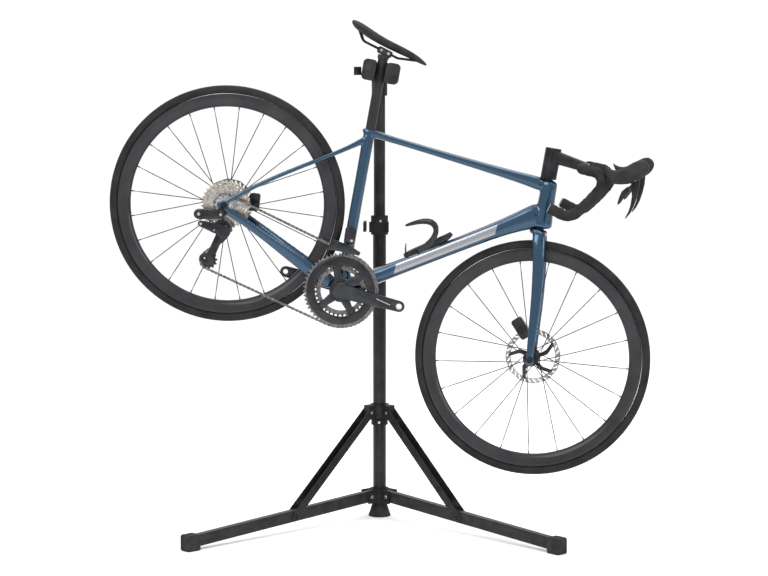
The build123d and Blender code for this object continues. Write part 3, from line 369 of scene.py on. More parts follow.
class Skin(Enum):
    """Every finish on the bicycle and its stand."""

    PAINT = FlakePaint("frame_lacquer", "frame_paint", (0.004, 0.034, 0.074), (0.024, 0.150, 0.235), 0.22,
                       0.05, 0.65,
                       depth=0.000004, coat=1.0)
    CARBON = Weave("satin_carbon", "carbon", (0.012, 0.012, 0.014), (0.032, 0.032, 0.036), 0.36, 0.1,
                   coat=0.25,
                   depth=0.000008, blotch=0.09)
    POWDER = Finish("black_powder_coat", "stand_paint", (0.008, 0.008, 0.009), (0.02, 0.02, 0.022), 0.38, 0.1,
                    grain=0.0012, depth=0.00003, coat=0.15)
    NYLON = Finish("black_nylon", "stand_plastic", (0.009, 0.009, 0.01), (0.024, 0.024, 0.026), 0.5, 0.14,
                   grain=0.0008, depth=0.00006)
    FOOT_RUBBER = Finish("foot_rubber", "stand_rubber", (0.012, 0.012, 0.012), (0.035, 0.034, 0.033), 0.72,
                         0.16,
                         grain=0.0014, depth=0.0001)
    SIDEWALL = Finish("tyre_sidewall", "tyre", (0.010, 0.010, 0.011), (0.022, 0.021, 0.021), 0.62, 0.14,
                      grain=0.0007, depth=0.00006, blotch=0.05)
    TREAD = Finish("tyre_tread", "tyre", (0.014, 0.013, 0.013), (0.040, 0.037, 0.034), 0.78, 0.14,
                   grain=0.0011,
                   depth=0.00014, blotch=0.04)
    SADDLE = Finish("saddle_microfibre", "saddle_cover", (0.011, 0.011, 0.012), (0.026, 0.026, 0.028), 0.66,
                    0.16,
                    grain=0.0008, depth=0.00009)
    TAPE = Wrap("bar_tape", "tape", (0.009, 0.009, 0.009), (0.026, 0.025, 0.025), 0.7, 0.16, grain=0.0009,
                depth=0.0001)
    HOOD = Finish("hood_rubber", "hood_rubber", (0.013, 0.013, 0.014), (0.03, 0.03, 0.031), 0.58, 0.14,
                  grain=0.0007, depth=0.00007)
    ANODISED = Finish("black_anodised_alloy", "alloy_black", (0.012, 0.012, 0.014), (0.03, 0.03, 0.034),
                      0.33, 0.12,
                      metal=0.6, depth=0.00001)
    CRANK = Finish("crank_dark_grey", "crank_grey", (0.020, 0.022, 0.025), (0.048, 0.050, 0.056), 0.34, 0.12,
                   metal=0.7, depth=0.00001, coat=0.1)
    GLOSS = Finish("component_black", "component_black", (0.007, 0.007, 0.009), (0.02, 0.02, 0.024), 0.24,
                   0.12,
                   metal=0.2, depth=0.00001, coat=0.4)
    ALLOY = Finish("bare_alloy", "alloy", (0.30, 0.30, 0.31), (0.52, 0.52, 0.52), 0.32, 0.14, metal=1.0,
                   depth=0.00001, grain=0.0004)
    STEEL = Turned("ground_steel", "steel", (0.16, 0.16, 0.162), (0.36, 0.36, 0.36), 0.36, 0.16, metal=1.0,
                   depth=0.00001, axle=FRONT_CENTRE)
    COG_STEEL = Turned("cog_steel", "steel", (0.24, 0.235, 0.23), (0.58, 0.57, 0.55), 0.24, 0.16, metal=1.0,
                       depth=0.00002, axle=REAR_CENTRE, blotch=0.008)
    GOLD = Turned("cog_gold", "steel", (0.30, 0.26, 0.21), (0.56, 0.50, 0.42), 0.26, 0.14, metal=1.0,
                  depth=0.00002, axle=REAR_CENTRE, blotch=0.008)
    SPOKE = Finish("spoke_black", "spoke_steel", (0.02, 0.02, 0.022), (0.06, 0.06, 0.065), 0.3, 0.1,
                   metal=0.8,
                   depth=0.00001)
    CHAIN = Finish("oiled_chain", "chain_steel", (0.060, 0.056, 0.052), (0.22, 0.21, 0.20), 0.34, 0.16,
                   metal=0.9,
                   grain=0.0008, depth=0.00002, blotch=0.006)


MATERIALS = {skin: skin.value.mix() for skin in Skin}


def dress(piece: Piece, body: str, skin: Skin, nodes: Sequence[str] = (),
          extra: Sequence[Skin] = ()) -> Piece:
    """Give a new piece its finish and say what it moves with and stands for.

    Args:
        piece: The new piece.
        body: The moving body that it rides on.
        skin: Its main finish.
        nodes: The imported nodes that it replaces.
        extra: Further finishes, for faces with a higher material index.

    Returns:
        The same piece.
    """
    piece.data.materials.clear()
    for finish in (skin, *extra):
        piece.data.materials.append(MATERIALS[finish])
    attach(piece, body)
    if nodes:
        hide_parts(*nodes)
    return piece


def coat(node: str, skin: Skin) -> None:
    """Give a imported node, kept as it is, its finish.

    Args:
        node: The node's name.
        skin: Its finish.
    """
    mesh = frame["nodes"][node].data
    mesh.materials.clear()
    mesh.materials.append(MATERIALS[skin])


# ======================================================================================
# Workshop: the few ways that pieces are made
# ======================================================================================
def choose(piece: Piece) -> None:
    """Make one piece the only selected one and the active one."""
    if bpy.context.object and bpy.context.object.mode != "OBJECT":
        bpy.ops.object.mode_set(mode="OBJECT")
    bpy.ops.object.select_all(action="DESELECT")
    piece.select_set(True)
    bpy.context.view_layer.objects.active = piece


def clean(piece: Piece, merge: float = 0.004) -> None:
    """Merge a piece's doubles and turn its faces outwards."""
    choose(piece)
    bpy.ops.object.mode_set(mode="EDIT")
    bpy.ops.mesh.select_all(action="SELECT")
    bpy.ops.mesh.remove_doubles(threshold=merge)
    bpy.ops.mesh.normals_make_consistent(inside=False)
    bpy.ops.object.mode_set(mode="OBJECT")


def settle(piece: Piece, place: Matrix, smooth: float = 38.0) -> Piece:
    """Put a piece drawn in millimetres where it belongs, with its place in its mesh.

    Args:
        piece: The piece, drawn in its own frame.
        place: That frame's place in the world.
        smooth: Edges sharper than this many degrees stay crisp.

    Returns:
        The same piece.
    """
    clean(piece)
    piece.data.transform(place @ piece.matrix_world)
    piece.matrix_world = Matrix.Identity(4)
    bpy.ops.object.shade_smooth_by_angle(angle=math.radians(smooth))
    return piece


def finish_modifiers(piece: Piece) -> None:
    """Apply every modifier on a piece, in order."""
    choose(piece)
    for modifier in list(piece.modifiers):
        bpy.ops.object.modifier_apply(modifier=modifier.name)


def joined(name: str, pieces: Sequence[Piece]) -> Piece:
    """Join pieces into the first and name it.

    Args:
        name: The name of the whole.
        pieces: What is joined.

    Returns:
        The joined piece.
    """
    choose(pieces[0])
    for piece in pieces[1:]:
        piece.select_set(True)
    if len(pieces) > 1:
        bpy.ops.object.join()
    pieces[0].name = name
    return pieces[0]


def mesh_piece(name: str, points: Sequence[Sequence[float]], edges: Sequence, faces: Sequence) -> Piece:
    """Make a piece from points, edges and faces."""
    mesh = bpy.data.meshes.new(name)
    mesh.from_pydata([tuple(p) for p in points], edges, faces)
    piece = bpy.data.objects.new(name, mesh)
    bpy.context.collection.objects.link(piece)
    return piece


def lathe(name: str, profile: Sequence[Point], centre: Point = (0.0, 0.0), steps: int = 48,
          closed: bool = False) -> Piece:
    """Spin a profile about an axle that runs along Y.

    Args:
        name: The piece's name.
        profile: Radius and sideways place of each point.
        centre: The axle's place in the side view.
        steps: Facets round the axle.
        closed: Whether the profile's end joins its start.

    Returns:
        The turned piece.
    """
    count = len(profile)
    points = [(centre[0] + radius, y, centre[1]) for radius, y in profile]
    edges = [(i, i + 1) for i in range(count - 1)] + ([(count - 1, 0)] if closed else [])
    piece = mesh_piece(name, points, edges, [])
    choose(piece)
    bpy.ops.object.mode_set(mode="EDIT")
    bpy.ops.mesh.select_all(action="SELECT")
    bpy.ops.mesh.spin(steps=steps, angle=2 * math.pi, center=(centre[0], 0.0, centre[1]),
                      axis=(0.0, 1.0, 0.0))
    bpy.ops.mesh.select_all(action="SELECT")
    bpy.ops.mesh.remove_doubles(threshold=0.002)
    bpy.ops.mesh.normals_make_consistent(inside=False)
    bpy.ops.object.mode_set(mode="OBJECT")
    return piece


def disc(name: str, centre: Point, radius: float, low: float, high: float, chamfer: float = 0.5,
         steps: int = 32) -> Piece:
    """Turn a solid disc with chamfered rims between two sideways places."""
    profile = ((0.0, low), (radius - chamfer, low), (radius, low + chamfer), (radius, high - chamfer),
               (radius - chamfer, high), (0.0, high))
    return lathe(name, profile, centre, steps)


def arc(centre: Point, radius: float, start: float, end: float, count: int) -> list[Point]:
    """Return points along an arc, angles in degrees."""
    turns = [math.radians(start + (end - start) * i / (count - 1)) for i in range(count)]
    return [(centre[0] + radius * math.cos(t), centre[1] + radius * math.sin(t)) for t in turns]


def plate(name: str, loops: Sequence[Sequence[Point]], low: float, high: float, bevel: float = 0.0) -> Piece:
    """Cut a flat plate, seen from the side, with holes where loops lie inside loops.

    Args:
        name: The piece's name.
        loops: Closed outlines in the side view.
        low: Sideways place of its drive-side face.
        high: Sideways place of its other face.
        bevel: Rounding of its rims.

    Returns:
        The plate.
    """
    flat = bpy.data.curves.new(name, "CURVE")
    flat.dimensions = "2D"
    flat.fill_mode = "BOTH"
    flat.extrude = (high - low) / 2 - bevel
    flat.bevel_depth = bevel
    flat.bevel_resolution = 1
    flat.offset = -bevel
    for loop in loops:
        spline = flat.splines.new("POLY")
        spline.points.add(len(loop) - 1)
        for point, (x, z) in zip(spline.points, loop):
            point.co = (x, z, 0.0, 1.0)
        spline.use_cyclic_u = True
    piece = bpy.data.objects.new(name, flat)
    bpy.context.collection.objects.link(piece)
    choose(piece)
    bpy.ops.object.convert(target="MESH")
    piece = bpy.context.object
    piece.data.transform(Matrix.Translation((0.0, (low + high) / 2, 0.0)) @ TURN_90)
    clean(piece, 0.002)
    return piece


def circle(centre: Point, radius: float, count: int = 32) -> list[Point]:
    """Return a closed circle's points."""
    return arc(centre, radius, 0.0, 360.0 * (count - 1) / count, count)


def capsule(a: Point, ra: float, b: Point, rb: float, count: int = 10) -> list[Point]:
    """Return the outline of a link with round ends of two sizes."""
    along = math.degrees(math.atan2(b[1] - a[1], b[0] - a[0]))
    lean = math.degrees(math.asin((ra - rb) / math.dist(a, b)))
    return (arc(a, ra, along + 90 - lean, along + 270 + lean, count)
            + arc(b, rb, along - 90 + lean, along + 90 - lean, count))


def tube(name: str, path: Sequence[Sequence[float]], radius: float, scale: Sequence[float] = (),
         flat: float = 1.0, smooth: bool = True, sides: int = 4) -> Piece:
    """Run a round or oval bar along a path.

    Args:
        name: The piece's name.
        path: Points that it follows.
        radius: Its half thickness.
        scale: Its relative thickness at each point.
        flat: Its width over its thickness.
        smooth: Whether it flows past its points or turns at them.
        sides: Quarter of the facets round it.

    Returns:
        The bar, with closed ends.
    """
    line = bpy.data.curves.new(name, "CURVE")
    line.dimensions = "3D"
    line.use_fill_caps = True
    line.resolution_u = 6
    outline = bpy.data.curves.new(name + "_section", "CURVE")
    ring = outline.splines.new("POLY")
    ring.points.add(4 * sides - 1)
    for i, point in enumerate(ring.points):
        turn = 2 * math.pi * i / (4 * sides)
        point.co = (radius * math.cos(turn), radius * flat * math.sin(turn), 0.0, 1.0)
    ring.use_cyclic_u = True
    section = bpy.data.objects.new(name + "_section", outline)
    bpy.context.collection.objects.link(section)
    line.bevel_mode = "OBJECT"
    line.bevel_object = section
    spline = line.splines.new("NURBS" if smooth else "POLY")
    spline.points.add(len(path) - 1)
    for i, (point, place) in enumerate(zip(spline.points, path)):
        point.co = (*place, 1.0)
        point.radius = scale[i] if scale else 1.0
    if smooth:
        spline.order_u = 4
        spline.use_endpoint_u = True
    piece = bpy.data.objects.new(name, line)
    bpy.context.collection.objects.link(piece)
    choose(piece)
    bpy.ops.object.convert(target="MESH")
    piece = bpy.context.object
    bpy.data.objects.remove(section)
    clean(piece, 0.002)
    return piece


def skin_over(name: str, rings: Sequence[Sequence[Vector]], levels: int = 2) -> Piece:
    """Stretch a smooth closed skin over rings of points.

    Args:
        name: The piece's name.
        rings: Rings of equally many points, from one end to the other.
        levels: How far the skin is subdivided.

    Returns:
        The skin.
    """
    count = len(rings[0])
    points = [point for ring in rings for point in ring]
    faces = [(i * count + j, i * count + (j + 1) % count, (i + 1) * count + (j + 1) % count,
              (i + 1) * count + j)
             for i in range(len(rings) - 1) for j in range(count)]
    faces += [tuple(range(count - 1, -1, -1)), tuple(range((len(rings) - 1) * count, len(rings) * count))]
    piece = mesh_piece(name, points, [], faces)
    if levels:
        surface = piece.modifiers.new("skin", "SUBSURF")
        surface.levels = levels
        surface.render_levels = levels
        finish_modifiers(piece)
    clean(piece, 0.002)
    return piece


def remesh(piece: Piece, voxel: float) -> None:
    """Remake a piece's surface as one skin of even faces."""
    skin = piece.modifiers.new("remesh", "REMESH")
    skin.mode = "VOXEL"
    skin.voxel_size = voxel
    finish_modifiers(piece)


def relax(piece: Piece, passes: int) -> None:
    """Smooth a piece's surface, keeping its volume."""
    smooth = piece.modifiers.new("relax", "LAPLACIANSMOOTH")
    smooth.iterations = passes
    smooth.lambda_factor = 0.9
    smooth.use_volume_preserve = True
    smooth.use_normalized = True
    finish_modifiers(piece)
    choose(piece)
    bpy.ops.object.shade_smooth()


def softened(name: str, node: str, voxel: float, passes: int, body: str, skin: Skin) -> Piece:
    """Remake a moulded node with blended corners, as one smooth skin.

    Args:
        name: The new piece's name.
        node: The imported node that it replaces.
        voxel: Size of its new faces, in metres.
        passes: How often it is smoothed.
        body: The moving body that it rides on.
        skin: Its finish.

    Returns:
        The new piece.
    """
    source = frame["nodes"][node]
    piece = bpy.data.objects.new(name, source.data.copy())
    bpy.context.collection.objects.link(piece)
    clean(piece, 0.00001)
    remesh(piece, voxel)
    relax(piece, passes)
    return dress(piece, body, skin, [node])


# ======================================================================================
# Wheels
# ======================================================================================
@dataclass(frozen=True)
class Wheel:
    """One wheel: tyre, deep rim, bladed spokes, hub, brake rotor and axle.

    Attributes:
        end: "front" or "rear".
        body: The moving body that it rides on.
        holder: The body that holds its axle.
        place: The frame that it is drawn in.
        axle: Its axle in the side view.
        spokes: How many spokes it has.
        flanges: Sideways places of the left and right flange, and their radius.
        half: Half the axle's spacing.
        rotor: The rotor's radius.
        rotor_y: The rotor's sideways place.
    """

    end: str
    body: str
    holder: str
    place: Matrix
    axle: Point
    spokes: int
    flanges: tuple[float, float, float]
    half: float
    rotor: float
    rotor_y: float
    radius: float = 339.0
    section: float = 14.0
    rim_inner: float = 278.0
    rim_outer: float = 313.0
    rim_half: float = 13.5
    twist: float = 46.0

    def build(self) -> None:
        """Build and dress the whole wheel."""
        self.tyre()
        self.rim()
        self.spoke_set()
        self.hub()
        self.brake_rotor()
        self.axle_ends()
        LOG.info("%s wheel built", self.end)

    def tyre(self) -> None:
        """Turn the tyre: worn tread, smooth flanks and the rib above the rim."""
        middle = self.radius - self.section
        profile = []
        for degrees in range(-132, 133, 6):
            turn = math.radians(degrees)
            lift = 0.0 if abs(degrees) < 50 else -0.5
            if abs(degrees) in (54, 60):
                lift = -0.9
            if abs(degrees) == 114:
                lift = 0.2
            reach = self.section + lift
            profile.append((middle + reach * math.cos(turn), reach * math.sin(turn)))
        profile += [(middle + (self.section - 2.6) * math.cos(math.radians(d)),
                     (self.section - 2.6) * math.sin(math.radians(d))) for d in range(126, -127, -28)]
        piece = lathe(f"{self.end}_tyre_casing", profile, self.axle, 144, closed=True)
        tread = self.radius - 0.36 * self.section
        for face in piece.data.polygons:
            out = math.dist((face.center.x, face.center.z), self.axle)
            face.material_index = 1 if out > tread else 0
        dress(settle(piece, self.place), self.body, Skin.SIDEWALL, [f"{self.end}_tyre"], [Skin.TREAD])

    def rim(self) -> None:
        """Turn the deep rim with its bead ledge and rounded inner edge."""
        half, outer, inner = self.rim_half, self.rim_outer, self.rim_inner
        flank = [(outer + 1.2, half - 1.6), (outer + 0.6, half - 0.3), (outer - 1.5, half),
                 (outer - 4, half - 0.1),
                 (outer - 12, half - 0.7), (outer - 20, half - 2.0), (outer - 26, half - 4.0),
                 (outer - 31, half - 7.4), (inner + 1.0, half - 10.4), (inner, 0.0)]
        bed = self.radius - 2 * self.section + 4.0
        profile = [(bed, 9.6), *flank, *[(r, -y) for r, y in reversed(flank[:-1])], (bed, -9.6)]
        piece = lathe(f"{self.end}_rim_hoop", profile, self.axle, 144, closed=True)
        dress(settle(piece, self.place), self.body, Skin.CARBON, [f"{self.end}_rim"])

    def spoke_line(self, index: int) -> tuple[Vector, Vector]:
        """Return a spoke's two ends, at the flange and at the rim."""
        left, right, flange_radius = self.flanges
        if self.end == "front":
            flange, lean = ((left, 1), (right, 0), (left, -1))[index % 3]
        else:
            flange, lean = ((right, 1), (left, 0), (right, -1))[index % 3]
        rim_turn = math.radians(4 + 360 * index / self.spokes)
        hub_turn = rim_turn + math.radians(self.twist * lean)
        start = Vector((self.axle[0] + flange_radius * math.cos(hub_turn), flange + 1.3 * lean,
                        self.axle[1] + flange_radius * math.sin(hub_turn)))
        end = Vector((self.axle[0] + (self.rim_inner + 1) * math.cos(rim_turn), 0.0,
                      self.axle[1] + (self.rim_inner + 1) * math.sin(rim_turn)))
        return start, end

    def spoke_set(self) -> None:
        """Lace the bladed spokes, with a nipple at the rim and a bent head at the flange."""
        rods, nipples = [], []
        for index in range(self.spokes):
            start, end = self.spoke_line(index)
            along = (end - start).normalized()
            broad = along.cross(Vector((0, 1, 0))).normalized()
            thin = along.cross(broad)
            length = (end - start).length
            stations = ((0.0, 1.05, 1.05), (16.0, 1.05, 1.05), (30.0, 1.35, 0.55), (length - 34, 1.35, 0.55),
                        (length - 20, 1.0, 1.0), (length, 1.0, 1.0))
            rings = [[start + along * far + broad * (wide * math.cos(math.pi * k / 3))
                      + thin * (deep * math.sin(math.pi * k / 3)) for k in range(6)]
                     for far, wide, deep in stations]
            rods.append(skin_over("spoke", rings, 0))
            collar = [[end + along * far + broad * (r * math.cos(math.pi * k / 4))
                       + thin * (r * math.sin(math.pi * k / 4)) for k in range(8)]
                      for far, r in ((-9.0, 1.3), (-8.0, 1.7), (-1.5, 1.9), (2.5, 2.3))]
            nipples.append(skin_over("nipple", collar, 0))
            head = [[start + Vector((0, dy, 0)) + Vector((r * math.cos(math.pi * k / 4), 0,
                                                          r * math.sin(math.pi * k / 4)))
                     for k in range(8)] for dy, r in ((-3.4, 1.1), (-2.9, 1.9), (-1.8, 1.3), (2.2, 1.2))]
            rods.append(skin_over("head", head, 0))
        dress(settle(joined(f"{self.end}_bladed_spokes", rods), self.place), self.body, Skin.SPOKE,
              [f"{self.end}_spokes"])
        dress(settle(joined(f"{self.end}_nipples", nipples), self.place), self.body, Skin.ANODISED)

    def hub(self) -> None:
        """Turn the hub shell with two flanges, a waist and the rotor's boss."""
        left, right, reach = self.flanges
        waist = 11.0 if self.end == "front" else 13.5
        core = 6.6
        profile = [(core, -self.half), (9.0, -self.half), (9.4, right - 14), (waist + 2, right - 9),
                   (waist + 3, right - 4),
                   (reach - 1, right - 2.6), (reach, right - 1.6), (reach, right + 1.6),
                   (reach - 1.2, right + 2.6),
                   (waist + 4, right + 4.5), (waist + 0.8, right + 11), (waist, (left + right) / 2),
                   (waist + 1.2, left - 11), (waist + 4.5, left - 4.5), (reach - 1.2, left - 2.6),
                   (reach, left - 1.6),
                   (reach, left + 1.6), (reach - 1, left + 2.6), (16.5, left + 3.4), (16.0, self.rotor_y - 2),
                   (10.2, self.rotor_y - 1.8), (9.0, self.rotor_y + 1), (9.0, self.half), (core, self.half)]
        shell = lathe("shell", profile, self.axle, 64, closed=True)
        dress(settle(joined(f"{self.end}_hub_shell", [shell]), self.place), self.body, Skin.ANODISED,
              [f"{self.end}_hub"])

    def brake_rotor(self) -> None:
        """Cut the rotor's braking ring and its carrier, and turn the lockring."""
        near, far = self.rotor_y - 0.9, self.rotor_y + 0.9
        outer, inner = self.rotor, self.rotor - 15.5
        wave = [(outer - 0.7 + 0.7 * math.cos(12 * t), t) for t in (2 * math.pi * k / 144
                                                                    for k in range(144))]
        rim_line = [(self.axle[0] + r * math.cos(t), self.axle[1] + r * math.sin(t)) for r, t in wave]
        slots = []
        for k in range(30):
            slant = math.radians(12 * k)
            low = (self.axle[0] + (inner + 3.4) * math.cos(slant - 0.05),
                   self.axle[1] + (inner + 3.4) * math.sin(slant - 0.05))
            high = (self.axle[0] + (outer - 4.2) * math.cos(slant + 0.06),
                    self.axle[1] + (outer - 4.2) * math.sin(slant + 0.06))
            slots.append(capsule(low, 1.5, high, 1.9, 4))
        ring = plate("ring", [rim_line, circle(self.axle, inner, 72), *slots], near, far)
        dress(settle(joined(f"{self.end}_braking_ring", [ring]), self.place, 30), self.body, Skin.STEEL,
              [f"{self.end}_rotor"])
        arms = []
        for k in range(5):
            turn = 72 * k + 20
            foot = arc(self.axle, 20, turn, turn + 30, 4)
            tip = arc(self.axle, inner + 4.5, turn + 44, turn + 35, 3)
            bend = arc(self.axle, (inner + 20) / 2, turn + 33, turn + 33, 2)[:1]
            back = arc(self.axle, (inner + 20) / 2, turn + 14, turn + 14, 2)[:1]
            arms.append(plate("arm", [foot + bend + tip + back], near - 0.6, far + 0.6, 0.4))
            arms.append(disc("rivet", arc(self.axle, inner + 3.4, turn + 40, turn + 40, 2)[0], 3.4,
                             near - 1.6, far + 1.4, 0.6, 12))
        arms.append(plate("carrier", [circle(self.axle, 22.5, 40), circle(self.axle, 16.4, 40)], near - 1,
                          far + 1, 0.5))
        dress(settle(joined(f"{self.end}_rotor_carrier", arms), self.place), self.body, Skin.CRANK)
        notched = [(self.axle[0] + (15.8 - 1.2 * (k % 2)) * math.cos(math.pi * k / 20),
                    self.axle[1] + (15.8 - 1.2 * (k % 2)) * math.sin(math.pi * k / 20)) for k in range(40)]
        lock = plate("lock", [notched, circle(self.axle, 9.4, 32)], far, far + 4.5, 0.5)
        dress(settle(joined(f"{self.end}_lockring", [lock]), self.place), self.body, Skin.ANODISED)

    def axle_ends(self) -> None:
        """Turn the through axle's two ends, one with a hex socket."""
        reach = self.half + 12
        rod = lathe("rod", ((0, -reach + 0.4), (6, -reach + 0.4), (6, reach - 0.6), (5.2, reach),
                            (0, reach)), self.axle, 32)
        socket = [(self.axle[0] + 3.4 * math.cos(math.pi * k / 3),
                   self.axle[1] + 3.4 * math.sin(math.pi * k / 3))
                  for k in range(6)]
        cap = plate("cap", [circle(self.axle, 9.8, 32), socket], -reach, -reach + 1.7, 0.4)
        dress(settle(joined(f"{self.end}_through_axle", [rod, cap]), self.place), self.holder, Skin.ANODISED,
              [f"{self.end}_axle"])


FRONT = Wheel("front", "front_wheel", "steering", TURNED, (577.4, 70.5), 21, (26.0, -34.0, 22.0), 50.0, 80.0,
              39.0)
REAR = Wheel("rear", "rear_wheel", "clamp", HANG, (-403.5, 70.5), 24, (36.0, -20.0, 24.0), 71.0, 70.0, 56.0)


# ======================================================================================
# Drive train
# ======================================================================================
@dataclass(frozen=True)
class DriveTrain:
    """Cranks, chainrings, chain, cassette and the two derailleurs.

    Attributes:
        pitch: Chain pitch.
        ring_teeth: Teeth on the outer ring.
        inner_teeth: Teeth on the inner ring.
        cogs: Teeth on each cog, smallest first.
        driven: Which cog the chain is on.
        cog_space: Cog spacing.
        inner_cog_y: Sideways place of the largest cog.
        ring_y: Sideways place of the outer ring.
        inner_ring_y: Sideways place of the inner ring.
        crank: Crank length.
        crank_turn: The crank's angle at rest, in degrees.
        guide: The upper pulley in the side view.
        tension: The lower pulley in the side view.
        knuckle: The cage's pivot in the side view.
    """

    pitch: float = 12.7
    ring_teeth: int = 52
    inner_teeth: int = 36
    cogs: tuple[int, ...] = (11, 12, 13, 14, 15, 17, 19, 21, 24, 27, 30, 34)
    driven: int = 4
    cog_space: float = 3.6
    inner_cog_y: float = -29.0
    ring_y: float = -46.0
    inner_ring_y: float = -38.5
    crank: float = 172.5
    crank_turn: float = 12.1
    pulley_teeth: int = 12
    guide: Point = (-380.0, 10.0)
    tension: Point = (-376.0, -92.0)
    knuckle: Point = (-372.0, 4.0)
    arms: tuple[float, ...] = (50.0, 115.0, 232.0, 310.0)

    def build(self) -> None:
        """Build and dress the whole drive train."""
        self.cassette()
        self.rings()
        self.right_crank()
        self.left_crank()
        self.chain()
        self.rear_derailleur()
        self.front_derailleur()
        LOG.info("drive train built")

    def radius(self, teeth: int) -> float:
        """Return a sprocket's pitch radius."""
        return self.pitch / (2 * math.sin(math.pi / teeth))

    def cog_y(self, index: int) -> float:
        """Return a cog's sideways place."""
        return self.inner_cog_y - self.cog_space * (len(self.cogs) - 1 - index)

    def toothed(self, teeth: int, centre: Point, rise: float = 3.0, dip: float = 3.4,
                phase: float = 0.0) -> list[Point]:
        """Return a sprocket's outline, five points to a tooth."""
        pitch = self.radius(teeth)
        outline = []
        for k in range(teeth):
            middle = phase + 2 * math.pi * k / teeth
            for share, reach in ((-0.5, -dip), (-0.26, -0.4 * dip), (-0.10, rise), (0.10, rise),
                                 (0.26, -0.4 * dip)):
                turn = middle + share * 2 * math.pi / teeth
                outline.append((centre[0] + (pitch + reach) * math.cos(turn),
                                centre[1] + (pitch + reach) * math.sin(turn)))
        return outline

    def cassette(self) -> None:
        """Cut every cog with its teeth and lightening windows."""
        steel, gold = [], []
        for index, teeth in enumerate(self.cogs):
            y = self.cog_y(index)
            reach = self.radius(teeth)
            outline = self.toothed(teeth, REAR.axle, 2.2 if index != self.driven else -0.4, 3.6, 0.3 * index)
            holes = [circle(REAR.axle, 16.8, 36)]
            if reach > 34:
                for k in range(6):
                    turn = 60 * k + 9 * index
                    inner = arc(REAR.axle, 22.0, turn + 10, turn + 50, 5)
                    outer = arc(REAR.axle, reach - 8.0, turn + 54, turn + 6, 7)
                    holes.append(inner + outer)
            cog = plate("cog", [outline, *holes], y - 0.8, y + 0.8)
            (gold if index >= len(self.cogs) - 3 and index % 2 else steel).append(cog)
        low = self.cog_y(0)
        steel.append(lathe("carrier", ((9.4, low - 1), (16.9, low - 1), (16.9, self.inner_cog_y + 1),
                                       (9.4, self.inner_cog_y + 1)),
                           REAR.axle, 48, closed=True))
        steel.append(plate("lockring", [self.toothed(12, REAR.axle, -6.5, 9.0), circle(REAR.axle, 11.5, 24)],
                           low - 3.2, low - 0.9, 0.3))
        dress(settle(joined("cassette_cogs", steel), HANG, 25), "freewheel", Skin.COG_STEEL, ["cassette"])
        dress(settle(joined("cassette_gold_cogs", gold), HANG, 25), "freewheel", Skin.GOLD)

    def crank_point(self, turn: float, reach: float) -> Point:
        """Return a point round the crank axle, its angle measured from the crank arm."""
        angle = math.radians(self.crank_turn + turn)
        return reach * math.cos(angle), reach * math.sin(angle)

    def rings(self) -> None:
        """Cut both toothed rings, the outer ring's black cover and its bolts."""
        teeth = plate("teeth", [self.toothed(self.ring_teeth, (0, 0)), circle((0, 0), 92, 96)],
                      self.ring_y - 1.1,
                      self.ring_y + 1.1, 0.3)
        inner = plate("inner", [self.toothed(self.inner_teeth, (0, 0)), circle((0, 0), 58, 72)],
                      self.inner_ring_y - 1.0,
                      self.inner_ring_y + 1.0, 0.3)
        pins = [disc("pin", self.crank_point(30 + 45 * k, 64.5), 2.2, self.inner_ring_y - 2.4,
                     self.inner_ring_y + 1.4, 0.4, 12)
                for k in range(8)]
        dress(settle(joined("chainring_teeth", [teeth, inner, *pins]), HANG, 25), "cranks", Skin.CHAIN,
              ["chainrings"])
        cover_holes = []
        for first, last in zip(self.arms, (*self.arms[1:], self.arms[0] + 360)):
            if last > 360:
                spans = ((first + 9, 349.0), (371.0, last - 9))
            else:
                spans = ((first + 9, last - 9),)
            for low, high in spans:
                count = 7
                cover_holes.append([self.crank_point(low + (high - low) * k / (count - 1), 74)
                                    for k in range(count)]
                                   + [self.crank_point(high - 5 - (high - low - 10) * k / (count - 1), 33)
                                      for k in range(count)])
        cover = plate("cover", [circle((0, 0), 95.5, 128), *cover_holes], -54.5, -49.0, 1.6)
        lip = plate("lip", [circle((0, 0), 97.5, 128), circle((0, 0), 90, 96)], -51.2, -47.4, 0.6)
        dress(settle(joined("ring_cover", [cover, lip]), HANG), "cranks", Skin.GLOSS)
        bolts = [disc("bolt", self.crank_point(turn, 60), 5.0, -56.2, -48, 0.9, 16) for turn in self.arms]
        dress(settle(joined("ring_bolts", bolts), HANG), "cranks", Skin.ANODISED)

    def arm_outline(self, sign: int, grow: float, start: float, end: float) -> list[Point]:
        """Return a crank arm's outline between two distances from the axle."""
        wide, slim = 20.5 + grow, 15.0 + grow

        def share(far: float) -> float:
            """Return the arm's half width at a distance from the axle."""
            return wide + (slim - wide) * far / self.crank

        shape = [(start, share(start)), (self.crank * 0.5, share(self.crank * 0.5) - 1.2), (end, share(end))]
        tip = [(end + slim * math.sin(math.pi * k / 12), slim * math.cos(math.pi * k / 12))
               for k in range(1, 12)]
        low = [(x, -z) for x, z in reversed(shape)]
        angle = math.radians(self.crank_turn + (0 if sign > 0 else 180))
        return [(x * math.cos(angle) - z * math.sin(angle), x * math.sin(angle) + z * math.cos(angle))
                for x, z in shape + tip + low]

